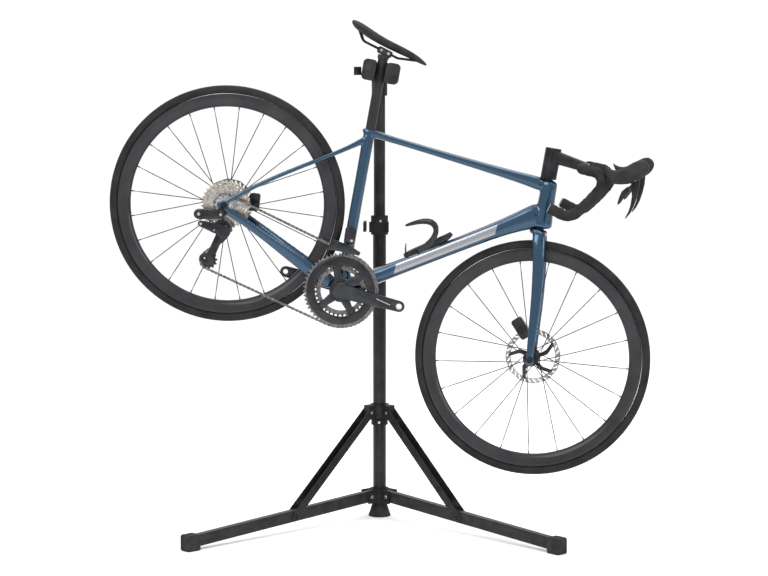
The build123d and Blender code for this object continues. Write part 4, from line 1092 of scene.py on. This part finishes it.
    def right_crank(self) -> None:
        """Shape the drive-side crank: its arm, raised face, a bright slot that is a painted highlight, spider
        arms and axle.
        """
        pedal = self.crank_point(0, self.crank)
        hole = circle(pedal, 7.1, 24)
        arm = plate("arm", [self.arm_outline(1, 1.0, -16.0, self.crank), hole], -67.0, -54.0, 3.2)
        face = plate("face", [self.arm_outline(1, -4.5, -10.0, self.crank), circle(pedal, 9.6, 24)], -68.6,
                     -60.0, 1.2)
        boss = disc("boss", (0, 0), 24.0, -66.0, -44.0, 3.0, 48)
        spider = [plate("spider", [capsule(self.crank_point(turn, 12), 15, self.crank_point(turn, 66), 8.5,
                                           8)], -57.5, -47.2, 2.2)
                  for turn in self.arms]
        sleeve = lathe("sleeve", ((10.2, -60), (12, -60), (12, 60), (10.2, 60)), (0, 0), 32, closed=True)
        dress(settle(joined("right_crank_arm", [arm, face, boss, sleeve, *spider]), HANG), "cranks",
              Skin.CRANK,
              ["crank_right"])
        # The bright alloy slot on the crank's face is a painted highlight. The ring round the pedal thread is
        # bare alloy.
        slot = plate("slot", [capsule(self.crank_point(3, 106), 1.4, self.crank_point(-0.6, 146), 1.4, 6)],
                     -69.0, -67.6, 0.2)
        rim = plate("thread", [circle(pedal, 9.2, 32), circle(pedal, 7.2, 32)], -68.4, -53.6, 0.3)
        dress(settle(joined("crank_highlight_slot_and_thread_ring", [slot, rim]), HANG), "cranks", Skin.ALLOY)

    def left_crank(self) -> None:
        """Shape the other crank arm with its two pinch bolts and its cap."""
        pedal = self.crank_point(180, self.crank)
        arm = plate("arm", [self.arm_outline(-1, 1.0, -8.0, self.crank), circle(pedal, 7.1, 24)], 57.6, 72.4,
                    3.2)
        boss = disc("boss", (0, 0), 20.0, 51.2, 72.0, 2.0, 40)
        bolts = [disc("bolt", self.crank_point(180 + side * 24, 30), 3.4, 56.0, 73.5, 0.5, 12)
                 for side in (-1, 1)]
        dress(settle(joined("left_crank_arm", [arm, boss, *bolts]), HANG), "cranks", Skin.CRANK,
              ["crank_left"])
        cap = plate("cap", [self.toothed(12, (0, 0), -12.5, 14.5), circle((0, 0), 4.4, 16)], 71.4, 73.6, 0.4)
        dress(settle(joined("crank_cap", [cap]), HANG), "cranks", Skin.ANODISED)

    def chain_path(self) -> list[Point]:
        """Return the chain's pitch line as evenly spaced pins."""
        wheels = (((0.0, 0.0), self.radius(self.ring_teeth)),
                  (REAR.axle, self.radius(self.cogs[self.driven])),
                  (self.guide, -self.radius(self.pulley_teeth)),
                  (self.tension, self.radius(self.pulley_teeth)))
        runs = []
        for (a, ra), (b, rb) in zip(wheels, (*wheels[1:], wheels[0])):
            turn = math.atan2(b[1] - a[1], b[0] - a[0]) + math.asin((ra - rb) / math.dist(a, b))
            side = (math.sin(turn), -math.cos(turn))
            runs.append(((a[0] + ra * side[0], a[1] + ra * side[1]),
                         (b[0] + rb * side[0], b[1] + rb * side[1])))
        line = []
        for k, (start, end) in enumerate(runs):
            centre, radius = wheels[(k + 1) % len(wheels)]
            leave = runs[(k + 1) % len(runs)][0]
            steps = 60
            line += [(start[0] + (end[0] - start[0]) * i / steps, start[1] + (end[1] - start[1]) * i / steps)
                     for i in range(steps)]
            first = math.atan2(end[1] - centre[1], end[0] - centre[0])
            sense = 1 if radius > 0 else -1
            last = math.atan2(leave[1] - centre[1], leave[0] - centre[0])
            swing = (last - first) * sense % (2 * math.pi) * sense
            line += [(centre[0] + abs(radius) * math.cos(first + swing * i / steps),
                      centre[1] + abs(radius) * math.sin(first + swing * i / steps)) for i in range(steps)]
        total = [0.0]
        for a, b in zip(line, line[1:] + line[:1]):
            total.append(total[-1] + math.dist(a, b))
        links = 2 * round(total[-1] / self.pitch / 2)
        pins, i = [], 0
        closed = line + line[:1]
        for k in range(links):
            far = total[-1] * k / links
            while total[i + 1] < far:
                i += 1
            share = (far - total[i]) / (total[i + 1] - total[i])
            a, b = closed[i], closed[i + 1]
            pins.append((a[0] + (b[0] - a[0]) * share, a[1] + (b[1] - a[1]) * share))
        return pins

    def chain_side(self, x: float) -> float:
        """Return the chain's sideways place between the rear cog and the ring."""
        share = min(max(-x / -REAR.axle[0], 0.0), 1.0)
        return self.ring_y + (self.cog_y(self.driven) - self.ring_y) * share

    def chain(self) -> None:
        """Link the chain: inner and outer plates in turn, rollers and pins."""
        pins = self.chain_path()
        parts = []
        for k, (a, b) in enumerate(zip(pins, pins[1:] + pins[:1])):
            y = self.chain_side((a[0] + b[0]) / 2)
            spread = 1.9 if k % 2 else 1.15
            waist = ((a[0] + b[0]) / 2, (a[1] + b[1]) / 2)
            across = ((b[1] - a[1]) / self.pitch, -(b[0] - a[0]) / self.pitch)
            along = math.degrees(math.atan2(b[1] - a[1], b[0] - a[0]))
            outline = (arc(a, 3.9, along + 62, along + 298, 7)
                       + [(waist[0] + across[0] * 2.5, waist[1] + across[1] * 2.5)]
                       + arc(b, 3.9, along - 118, along + 118, 7)
                       + [(waist[0] - across[0] * 2.5, waist[1] - across[1] * 2.5)])
            for side in (-1, 1):
                centre = y + side * spread
                count = len(outline)
                points = [(x, centre + dy, z) for dy in (-0.35, 0.35) for x, z in outline]
                faces = [tuple(range(count - 1, -1, -1)), tuple(range(count, 2 * count))]
                faces += [(i, (i + 1) % count, count + (i + 1) % count, count + i) for i in range(count)]
                parts.append((points, faces))
            for reach, half in ((3.4, 0.8), (1.5, 2.5)):
                ring = circle(a, reach, 8)
                points = [(x, y + dy, z) for dy in (-half, half) for x, z in ring]
                faces = [tuple(range(7, -1, -1)), tuple(range(8, 16))]
                faces += [(i, (i + 1) % 8, 8 + (i + 1) % 8, 8 + i) for i in range(8)]
                parts.append((points, faces))
        points, faces = [], []
        for some, sides in parts:
            base = len(points)
            points += some
            faces += [tuple(base + i for i in side) for side in sides]
        dress(settle(mesh_piece("linked_chain", points, [], faces), HANG, 30), "clamp", Skin.CHAIN, ["chain"])

    def pulley(self, name: str, centre: Point, node: str, body: str) -> None:
        """Cut a toothed pulley with its hub."""
        y = self.cog_y(self.driven)
        wheel = plate("wheel", [self.toothed(self.pulley_teeth, centre, 1.6, 4.2), circle(centre, 3.3, 16),
                                *[circle((centre[0] + 12.5 * math.cos(k), centre[1] + 12.5 * math.sin(k)),
                                         2.6, 12)
                                  for k in (2 * math.pi * i / 6 for i in range(6))]], y - 1.2, y + 1.2, 0.2)
        hub = plate("hub", [circle(centre, 7.6, 24), circle(centre, 3.3, 16)], y - 2.9, y + 2.9, 0.4)
        dress(settle(joined(name, [wheel, hub]), HANG, 28), body, Skin.GLOSS, [node])

    def rear_derailleur(self) -> None:
        """Build the body with its ribs, the links, the knuckle, the cage and both pulleys."""
        hanger, tail = (REAR.axle[0] + 4, REAR.axle[1] - 26), (-456.0, 18.0)
        body = [plate("hanger", [capsule(hanger, 11, (REAR.axle[0] - 2, REAR.axle[1] - 14), 9, 8)], -83, -78,
                      0.8),
                plate("motor", [capsule(hanger, 13, tail, 15, 10)], -93.5, -78.5, 3.0),
                disc("tail", tail, 12.5, -95.5, -77.0, 2.0, 28),
                disc("head", hanger, 10, -95.0, -76.5, 1.5, 24)]
        for k in range(4):
            share = 0.25 + 0.15 * k
            x = hanger[0] + (tail[0] - hanger[0]) * share
            z = hanger[1] + (tail[1] - hanger[1]) * share
            body.append(plate("rib", [capsule((x - 2, z - 9), 1.6, (x + 3, z + 9), 1.6, 5)], -95.2, -92.0,
                              0.5))
        dress(settle(joined("derailleur_body", body), HANG), "clamp", Skin.GLOSS, ["rd_body"])
        bright = [disc("bolt", tail, 4.6, -96.6, -94, 0.6, 20),
                  disc("screw", hanger, 4.0, -96.2, -94, 0.6, 20)]
        dress(settle(joined("derailleur_bolts", bright), HANG), "clamp", Skin.ALLOY)
        low = (-440.0, -6.0)
        knuckle = [plate("link", [capsule(low, 9, self.knuckle, 17, 10)], -76.2, -66.0, 2.6),
                   plate("web", [[(-432, -2), (-402, 8), (-384, -2), (-396, -14), (-424, -12)]], -78.5,
                         -72.0, 1.2),
                   disc("drum", self.knuckle, 19.0, -77.6, -62.6, 2.4, 36)]
        dress(settle(joined("derailleur_knuckle", knuckle), HANG), "derailleur_knuckle", Skin.GLOSS,
              ["rd_knuckle"])
        shine = [disc("pivot", low, 3.6, -78.2, -75, 0.5, 16),
                 disc("stud", (-398.0, -5.0), 2.6, -79.4, -77, 0.4, 12)]
        dress(settle(joined("knuckle_bolts", shine), HANG), "derailleur_knuckle", Skin.ALLOY)
        outer = [(-388, 20), (-374, 24), (-358, 14), (-354, -4), (-360, -26), (-376, -52), (-372, -70),
                 (-362, -82),
                 (-360, -96), (-368, -106), (-396, -104), (-404, -96), (-400, -84), (-388, -72), (-386, -52),
                 (-378, -28), (-384, -10), (-396, 2), (-398, 12)]
        window = [(-397, -95), (-390, -84), (-382, -84), (-384, -98)]
        plates = [plate("outer", [outer, window], -62.2, -60.4, 0.5),
                  plate("inner", [capsule(self.guide, 11, self.tension, 12, 10)], -49.0, -47.4, 0.4)]
        screws = [disc("screw", spot, 3.0, -62.9, -47.0, 0.4, 14) for spot in (self.guide, self.tension)]
        dress(settle(joined("pulley_cage", plates + screws), HANG), "derailleur_cage", Skin.GLOSS,
              ["rd_cage"])
        self.pulley("upper_jockey", self.guide, "guide_pulley", "upper_pulley")
        self.pulley("lower_jockey", self.tension, "tension_pulley", "lower_pulley")

    def front_derailleur(self) -> None:
        """Build the motor block with ribs, its clamp bolt and the chain guide."""
        turn = math.radians(17)

        def spin(x: float, z: float) -> Point:
            """Return where a point of the motor block lies on the seat tube."""
            return -46 + x * math.cos(turn) - z * math.sin(turn), 152 + x * math.sin(turn) + z * math.cos(turn)

        block = [plate("block", [[spin(*p) for p in ((-16, -20), (-12, -23), (12, -23), (16, -18), (16, 19),
                                                     (11, 23), (-13, 23), (-17, 18))]],
                       -37.4, -16.4, 3.0)]
        block += [plate("rib", [capsule(spin(-12, 14 - 6 * k), 1.3, spin(12, 16 - 6 * k), 1.3, 5)], -38.0,
                        -35.0, 0.4)
                  for k in range(5)]
        dress(settle(joined("guide_motor", block), HANG), "clamp", Skin.GLOSS, ["fd_body"])
        dress(settle(disc("guide_bolt", spin(6, -14), 4.0, -38.2, -30, 0.6, 16), HANG), "clamp", Skin.ALLOY)
        top = [(-92, 84), (-84, 122), (-30, 126), (2, 122), (2, 113)]
        curve = [(x, 84 + 29 * ((x + 92) / 94) ** 0.75) for x in (-14, -30, -46, -62, -78)]
        guide = [plate("outer", [top + curve], -52.4, -51.2, 0.4),
                 plate("inner", [top + curve], -38.4, -37.2, 0.4),
                 plate("bridge", [[(-63, 120.2), (-37, 120.2), (-37, 123), (-63, 123)]], -52.4, -38.0, 0.5),
                 plate("tail", [[(-92, 86), (-88, 86), (-84, 100), (-87, 100)]], -52.4, -38.0, 0.4)]
        dress(settle(joined("chain_guide_plates", guide), HANG, 30), "chain_guide", Skin.CRANK, ["fd_cage"])


# ======================================================================================
# Frame, fork, cockpit and saddle
# ======================================================================================
def filleted(corners: Sequence[Sequence[float]], radii: Sequence[float],
             spacing: float = 3.0) -> list[Vector]:
    """Return points along straight runs joined by round bends.

    Args:
        corners: The route's corners.
        radii: The bend at each inner corner.
        spacing: Distance between points.

    Returns:
        Evenly spaced points.
    """
    spots = [Vector(c) for c in corners]
    route = [spots[0]]
    for before, corner, after, radius in zip(spots, spots[1:], spots[2:], radii):
        back, ahead = (before - corner).normalized(), (after - corner).normalized()
        half = back.angle(ahead) / 2
        reach = radius / math.tan(half)
        start = corner + back * reach
        middle = corner + (back + ahead).normalized() * (radius / math.sin(half))
        end = corner + ahead * reach
        count = max(3, int(radius * (math.pi - 2 * half) / spacing))
        for k in range(count + 1):
            spoke = (start - middle).slerp(end - middle, k / count)
            route.append(middle + spoke.normalized() * radius)
    route.append(spots[-1])
    even = [route[0]]
    for a, b in zip(route, route[1:]):
        steps = max(1, int((b - a).length / spacing))
        even += [a.lerp(b, k / steps) for k in range(1, steps + 1)]
    return even


@dataclass(frozen=True)
class Station:
    """One section of a moulded tube: its centre, half depth and half width."""

    x: float
    y: float
    z: float
    deep: float
    wide: float


def member(stations: Sequence[Station], square: float = 0.78) -> Piece:
    """Run one moulded tube through its sections.

    Args:
        stations: Its sections, from end to end.
        square: 1 gives an oval section and less a boxier one.

    Returns:
        The tube, solid, for moulding with its neighbours.
    """
    spots = [Vector((s.x, s.y, s.z)) for s in stations]
    rings = []
    for k, (spot, station) in enumerate(zip(spots, stations)):
        along = (spots[min(k + 1, len(spots) - 1)] - spots[max(k - 1, 0)]).normalized()
        broad = (Vector((0, 1, 0)) - along * along.y).normalized()
        deep = along.cross(broad)
        ring = []
        for i in range(16):
            c, s = math.cos(math.pi * i / 8), math.sin(math.pi * i / 8)
            ring.append(spot + broad * (station.wide * math.copysign(abs(c) ** square, c))
                        + deep * (station.deep * math.copysign(abs(s) ** square, s)))
        rings.append(ring)
    return skin_over("member", rings, 1)


@dataclass(frozen=True)
class Bicycle:
    """The frame set, cockpit and saddle.

    Attributes:
        bar_top: The centre of the handlebar in the side view.
        bar_half: Half the bar's width at the hoods.
        bar_radius: The bar's radius; not used.
        tape_start: Where the tape starts, from the stem.
        head_top: Height of the head tube's top; not used.
        lever_y: Sideways place of the levers.
    """

    bar_top: Point = (465.0, 626.0)
    bar_half: float = 207.0
    bar_radius: float = 11.5
    tape_start: float = 78.0
    head_top: float = 548.0
    lever_y: float = 203.0

    def build(self) -> None:
        """Build and dress the frame set, cockpit and saddle."""
        self.frame_shell()
        self.fork()
        softened("bar_and_stem", "cockpit", 0.0020, 8, "steering", Skin.ANODISED)
        coat("seatpost", Skin.CARBON)
        coat("saddle_rails", Skin.ANODISED)
        self.bottle_cage()
        for end in ("front", "rear"):
            coat(f"{end}_caliper", Skin.GLOSS)
        self.saddle()
        self.tape()
        self.controls()
        self.small_parts()
        LOG.info("frame set built")

    def on_steerer(self, z: float) -> float:
        """Return the steering axis's place along x at a height."""
        return 535.3 - (z - 57.6) * math.tan(math.radians(17.0))

    def moulded(self, name: str, members: Sequence[Piece], place: Matrix, body: str, node: str) -> None:
        """Fuse solid tubes into one moulded shell with blended corners."""
        piece = joined(name, members)
        remesh(piece, 2.1)
        relax(piece, 9)
        piece.data.transform(place)
        dress(piece, body, Skin.PAINT, [node])

    def frame_shell(self) -> None:
        """Mould the frame: main tubes, gussets at the head, bearing shell and slim stays."""
        head = [Station(self.on_steerer(z), 0, z, deep, wide)
                for z, deep, wide in ((410, 30, 27.5), (425, 29, 27), (450, 26, 24), (490, 24, 22.5),
                                      (525, 23.5, 22.5),
                                      (547, 23.5, 23))]
        down = [Station(-6, 0, -6, 27, 36), Station(30, 0, 34, 25, 30), Station(70, 0, 78, 22, 24),
                Station(160, 0, 178, 21.5, 22),
                Station(265, 0, 295, 21.5, 22), Station(335, 0, 373, 24, 22), Station(385, 0, 424, 33, 22),
                Station(414, 0, 452, 42, 22)]
        top = [Station(-152, 0, 432, 12, 13), Station(-110, 0, 437, 10.5, 15), Station(-38, 0, 450, 9.8, 17),
               Station(120, 0, 478, 11.5, 19),
               Station(270, 0, 505, 14.5, 20), Station(345, 0, 519, 18.5, 20), Station(384, 0, 524, 23, 20)]
        seat = [Station(-d * math.cos(math.radians(73.57)), 0, d * math.sin(math.radians(73.57)), deep, wide)
                for d, deep, wide in ((4, 26, 34), (40, 20, 24), (80, 17, 17.5), (200, 16.5, 16),
                                      (330, 16.5, 15), (420, 17, 14.5),
                                      (462, 17.2, 15))]
        members = [member(head, 0.95), member(down), member(top), member(seat)]
        barrel = lathe("barrel", ((0, -43.2), (24.5, -43.2), (25.5, -40), (25.5, 40), (24.5, 43.2),
                                  (0, 43.2)), (0, 0), 40)
        members.append(barrel)
        for side in (1, -1):
            members.append(member([Station(-402, side * 76, 74, 10, 4.6),
                                   Station(-392, side * 75, 92, 7.5, 5),
                                   Station(-345, side * 69, 160, 6.2, 5.5),
                                   Station(-262, side * 49, 257, 6.2, 5.5),
                                   Station(-179, side * 25, 347, 6.6, 5.5),
                                   Station(-142, side * 12, 394, 8.5, 6),
                                   Station(-128, side * 5, 414, 12, 7)]))
            members.append(member([Station(-404, side * 76, 68, 9, 4.6),
                                   Station(-385, side * 75.5, 64, 12, 4.8),
                                   Station(-330, side * 71, 57, 11, 6), Station(-250, side * 56, 44, 13.5, 7),
                                   Station(-162, side * 35, 26, 19, 6.5), Station(-90, side * 30, 14, 21, 7),
                                   Station(-20, side * 27, 2, 22, 11)]))
            members.append(disc("dropout", REAR.axle, 14.5, side * 76 - 4.6, side * 76 + 4.6, 1.5, 32))
        self.moulded("frame_shell", members, HANG, "clamp", "frame")

    def fork(self) -> None:
        """Mould the fork: crown, two deep blades and their tips, and turn the steerer."""
        members = [member([Station(self.on_steerer(z), 0, z, deep, wide)
                           for z, deep, wide in ((386, 22, 22), (395, 27, 29), (407.6, 28, 27.5))], 0.9)]
        for side in (1, -1):
            members.append(member([Station(434, side * 14, 402, 19, 12),
                                   Station(441, side * 27, 386, 19.5, 9.5),
                                   Station(452, side * 34, 366, 18.5, 8.2),
                                   Station(480, side * 39, 310, 17, 7.6),
                                   Station(514, side * 44, 232, 15.6, 7),
                                   Station(543, side * 50, 155, 13.4, 6.2),
                                   Station(562, side * 54, 105, 11.5, 5.6),
                                   Station(573, side * 55, 80, 11, 4.9),
                                   Station(577, side * 55, 68, 9, 4.6)]))
            members.append(disc("tip", FRONT.axle, 12.5, side * 55 - 4.8, side * 55 + 4.8, 1.4, 32))
        self.moulded("fork_blades", members, TURNED, "steering", "fork")
        line = [[Vector((self.on_steerer(z) + 13.9 * math.cos(math.pi * k / 12),
                         13.9 * math.sin(math.pi * k / 12), z))
                 for k in range(24)] for z in (405, 500, 630)]
        dress(settle(skin_over("steerer_tube", line, 0), TURNED), "steering", Skin.ANODISED)

    def saddle(self) -> None:
        """Shape the short-nosed saddle: crowned top, turned-down skirts and a dropped nose."""
        stations = ((-315, 22, 695, 702), (-308, 52, 688, 704), (-296, 66, 682, 706), (-270, 70.5, 677, 704),
                    (-245, 66, 674, 700.5), (-215, 48, 673, 697), (-185, 33, 673, 696.5),
                    (-155, 24, 674, 697),
                    (-120, 20, 676, 696), (-92, 18, 676, 691.5), (-76, 14, 677, 686), (-70, 8, 679, 683))
        rings = []
        for x, half, low, high in stations:
            ring = []
            for k in range(16):
                turn = 2 * math.pi * k / 16
                c, s = math.cos(turn), math.sin(turn)
                y = half * math.copysign(abs(c) ** 0.7, c)
                top = (low + high) / 2 + (high - low) / 2 * math.copysign(abs(s) ** 0.8, s)
                if s < 0:
                    top = low + (high - low) * 0.5 * (1 + s) * (0.55 + 0.45 * abs(c))
                ring.append(Vector((x, y, top)))
            rings.append(ring)
        pad = skin_over("saddle_cover", rings, 2)
        dress(settle(pad, HANG, 80), "clamp", Skin.SADDLE, ["saddle_pad"])

    def bar_route(self, side: int, start: float) -> list[Vector]:
        """Return the bar's centre line on one side, from a distance out from the stem."""
        x, z = self.bar_top
        return filleted(((x, side * start, z), (x, side * 172, z), (550, side * 202, 648),
                         (527, side * self.bar_half, 560),
                         (502, side * (self.bar_half + 2), 492), (438, side * (self.bar_half + 4), 492)),
                        (28, 34, 90, 40))

    def tape(self) -> None:
        """Wind the tape on: each turn steps over the one before it."""
        for side, name in ((1, "left"), (-1, "right")):
            route = self.bar_route(side, self.tape_start)
            lap = 7
            scale = [1.0 - 0.075 * ((k % lap) / lap) for k in range(len(route))]
            wound = tube("tape", route, 15.5, scale, 1.0, False, 5)
            end = tube("plug", [route[-1] - Vector((2, 0, 0)), route[-1] + Vector((-3.5, 0, 0))], 13.5, (),
                       1.0, False, 6)
            dress(settle(joined(f"bar_tape_{name}", [wound]), TURNED, 50), "steering", Skin.TAPE,
                  ["bar_tape"] if side > 0 else [])
            dress(settle(joined(f"bar_plug_{name}", [end]), TURNED), "steering", Skin.GLOSS)

    def controls(self) -> None:
        """Shape hoods, curved brake levers and shift paddles."""
        blade = ((603, 675), (622, 674), (631, 652), (637, 628), (641, 602), (641, 580), (637, 562),
                 (634, 561),
                 (634, 582), (631, 600), (624, 622), (612, 644), (601, 660))
        paddle = ((600, 641), (612, 636), (610, 622), (606, 606), (604, 592), (599, 583), (596, 590),
                  (593, 606), (592, 622))
        for side, name in ((1, "left"), (-1, "right")):
            softened(f"hood_{name}_shell", f"hood_{name}", 0.0016, 8, "steering", Skin.HOOD)
            y = side * self.lever_y
            lever = plate("blade", [blade], y - 6.5, y + 6.5, 3.0)
            dress(settle(joined(f"lever_{name}_blade", [lever]), TURNED, 60), f"{name}_brake", Skin.ANODISED,
                  [f"brake_lever_{name}"])
            low, high = sorted((y - side * 9.0, y - side * 20.0))
            press = plate("paddle", [paddle], low, high, 2.2)
            dress(settle(joined(f"paddle_{name}_plate", [press]), TURNED, 60), f"{name}_paddle", Skin.GLOSS,
                  [f"shift_paddle_{name}"])
            pin = disc("pin", (611, 668), 3.4, y - 15.5, y + 15.5, 0.6, 16)
            dress(settle(joined(f"lever_{name}_pin", [pin]), TURNED), "steering", Skin.ALLOY)

    def bottle_cage(self) -> None:
        """Bend the bottle cage: a base strip on the tube and two broad arms that wrap forwards."""
        base = tube("base", ((118, 0, 165), (128, 0, 176), (152, 0, 205), (185, 0, 244), (205, 0, 272),
                             (210, 0, 286)), 2.6,
                    (0.6, 1.0, 1.0, 1.0, 0.9, 0.5), 4.4)
        parts = [base]
        for side in (1, -1):
            parts.append(member([Station(140, side * 8, 194, 7, 2.4), Station(154, side * 20, 207, 8, 2.2),
                                 Station(167, side * 31, 230, 8, 2), Station(172, side * 36, 257, 8, 2),
                                 Station(165, side * 35, 282, 8.5, 2), Station(144, side * 31, 291, 8, 2),
                                 Station(119, side * 23, 280, 6.5, 2), Station(97, side * 12, 261, 5, 2),
                                 Station(80, side * 3, 244, 3.5, 2)], 1.0))
            parts.append(tube("foot", ((120, side * 4, 172), (112, side * 14, 186), (106, side * 22, 200)),
                              2.4,
                              (1.0, 0.9, 0.4), 1.0))
        dress(settle(joined("bottle_holder", parts), HANG, 60), "clamp", Skin.GLOSS, ["bottle_cage"])

    def small_parts(self) -> None:
        """Add the bearing cups, the saddle clamp's bolts and the calipers' screws and fins."""
        cups = [lathe("cup", ((24.6, s * 43.4), (24.6, s * 45.0), (20, s * 45.6), (15, s * 45.6),
                              (12.6, s * 43.4)),
                      (0, 0), 40, closed=True) for s in (-1, 1)]
        dress(settle(joined("bottom_bracket_cups", cups), HANG), "clamp", Skin.ANODISED)
        bolts = [disc("bolt", (-203, 661.5), 4.2, s * 28.5 - 2.5, s * 28.5 + 2.5, 0.6, 18) for s in (-1, 1)]
        bolts += [disc("bolt", (-181, 661.5), 4.2, s * 28.5 - 2.5, s * 28.5 + 2.5, 0.6, 18) for s in (-1, 1)]
        dress(settle(joined("saddle_clamp_bolts", bolts), HANG), "clamp", Skin.ALLOY)
        for wheel, place, body in ((FRONT, TURNED, "steering"), (REAR, HANG, "clamp")):
            x, z = (511.0, 128.0) if wheel.end == "front" else (-338.0, 106.0)
            screws = [disc("screw", (x + dx, z + dz), 4.2, wheel.rotor_y + 10.5, wheel.rotor_y + 15.0, 0.7,
                           16)
                      for dx, dz in ((-14, 12), (14, -10))]
            ribs = [plate("fin", [capsule((x - 9, z - 4 + 5 * k), 1.2, (x + 9, z - 2 + 5 * k), 1.2, 4)],
                          wheel.rotor_y - 14.5, wheel.rotor_y - 11.0, 0.3) for k in range(-2, 3)]
            dress(settle(joined(f"{wheel.end}_caliper_bolts", screws), place), body, Skin.ALLOY)
            dress(settle(joined(f"{wheel.end}_caliper_fins", ribs), place), body, Skin.ANODISED)


# ======================================================================================
# Stand
# ======================================================================================
@dataclass(frozen=True)
class RepairStand:
    """The folding stand: post, legs, braces, collars and clamp.

    Attributes:
        leg_turn: Each leg's angle from straight forward, in degrees.
        leg_reach: How far each leg reaches; not used.
        pivot: Distance of the leg pins from the post's axis.
        leg_pin: Height of the lower pins.
        brace_pin: Height of the upper pins.
        clamp_height: Height of the clamp's axis; not used.
    """

    leg_turn: float = 46.7
    leg_reach: float = 722.0
    pivot: float = 45.0
    leg_pin: float = 64.0
    brace_pin: float = 318.0
    clamp_height: float = 1327.0

    def build(self) -> None:
        """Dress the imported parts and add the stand's small pieces."""
        for node in ("lower_post", "upper_post", "leg_tube_left", "leg_tube_right", "brace_left",
                     "brace_right",
                     "clamp_body", "moving_jaw"):
            coat(node, Skin.POWDER)
        for node in ("leg_bracket", "brace_collar", "height_collar", "height_lever", "clamp_head",
                     "rotation_knob",
                     "jaw_lever"):
            coat(node, Skin.NYLON)
        for node in ("post_foot", "leg_cap_left", "leg_cap_right", "jaw_pad_fixed", "jaw_pad_moving"):
            coat(node, Skin.FOOT_RUBBER)
        self.rivets()
        LOG.info("stand built")

    def leg_frame(self, sign: int) -> Matrix:
        """Return the frame of the left (-1) or right (1) leg: x outwards, z up."""
        return MM @ Matrix.Rotation(math.radians(-90 + sign * self.leg_turn), 4, "Z")

    def rivets(self) -> None:
        """Add the pins' heads, the locking pin and the collar's screws."""
        for sign, name in ((-1, "left"), (1, "right")):
            place = self.leg_frame(sign)
            low = [disc("head", (self.pivot, self.leg_pin), 5.5, s * 19 - 2.0, s * 19 + 2.0, 1.2, 20)
                   for s in (-1, 1)]
            dress(settle(joined(f"leg_rivets_{name}", low), place), "stand", Skin.ALLOY)
            top = [disc("head", (self.pivot, self.brace_pin), 4.2, s * 17.5 - 1.6, s * 17.5 + 1.6, 1.0, 20)
                   for s in (-1, 1)]
            dress(settle(joined(f"brace_rivets_{name}", top), place), "slide_collar", Skin.ALLOY)
        pin = disc("pin", (0, 288), 4.0, -37.0, -33.0, 0.8, 20)
        dress(settle(joined("collar_lock_pin", [pin]), STAND), "slide_collar", Skin.ALLOY)
        screw = disc("screw", (4, 888), 3.4, -27.5, -24.0, 0.7, 18)
        dress(settle(joined("collar_screw", [screw]), STAND), "stand", Skin.ALLOY)


# ======================================================================================
# Studio
# ======================================================================================
@dataclass(frozen=True)
class Studio:
    """Pale sweep, soft lamps and the camera."""

    eye: tuple[float, float, float] = (0.225, -6.031, 1.315)
    swing: float = 2.01
    dip: float = 5.94
    lens: float = 95.6

    def build(self) -> None:
        """Set the floor, the light and the camera."""
        self.sweep()
        self.lamp("key", (-2.6, -4.2, 4.2), (0.0, -0.2, 0.9), 3.4, 190)
        self.lamp("fill", (4.2, -3.6, 2.6), (0.1, -0.2, 0.8), 3.0, 110)
        self.lamp("top", (0.0, 0.4, 4.6), (0.0, 0.0, 0.8), 4.0, 150)
        world = bpy.data.worlds.new("studio")
        bpy.context.scene.world = world
        world.use_nodes = True
        world.node_tree.nodes["Background"].inputs[0].default_value = (1.0, 1.0, 1.0, 1.0)
        world.node_tree.nodes["Background"].inputs[1].default_value = 0.95
        view = bpy.data.cameras.new("camera")
        view.lens = self.lens
        view.sensor_width = 36.0
        camera = bpy.data.objects.new("camera", view)
        bpy.context.collection.objects.link(camera)
        camera.location = self.eye
        camera.rotation_euler = (math.radians(90 - self.dip), 0.0, math.radians(self.swing))
        bpy.context.scene.camera = camera
        bpy.context.scene.view_settings.view_transform = "Standard"

    def lamp(self, name: str, spot: Sequence[float], aim: Sequence[float], size: float, watts: float) -> None:
        """Hang one soft square lamp that faces a point."""
        light = bpy.data.lights.new(name, "AREA")
        light.size = size
        light.energy = watts
        holder = bpy.data.objects.new(name, light)
        bpy.context.collection.objects.link(holder)
        holder.location = spot
        holder.rotation_euler = (Vector(aim) - Vector(spot)).to_track_quat("-Z", "Y").to_euler()

    def sweep(self) -> None:
        """Lay the floor and curve it up into a backdrop."""
        half, back, rise = 14.0, 7.0, 9.0
        bend = [(back + 3 * math.sin(math.pi * k / 24), 3 - 3 * math.cos(math.pi * k / 24))
                for k in range(13)]
        line = [(-12.0, 0.0), *bend, (back + 3, rise)]
        points = [(x, y, z) for y, z in line for x in (-half, half)]
        faces = [(2 * i, 2 * i + 1, 2 * i + 3, 2 * i + 2) for i in range(len(line) - 1)]
        floor = mesh_piece("studio_floor", points, [], faces)
        choose(floor)
        bpy.ops.object.shade_smooth()
        paper = Recipe("studio_paper")
        paper.fix(Base_Color=(0.93, 0.93, 0.93), Roughness=0.9)
        floor.data.materials.append(paper.material)


def main() -> None:
    """Build everything in order."""
    logging.basicConfig(level=logging.INFO)
    RepairStand().build()
    Bicycle().build()
    FRONT.build()
    REAR.build()
    DriveTrain().build()
    Studio().build()


if __name__ == "__main__":
    main()
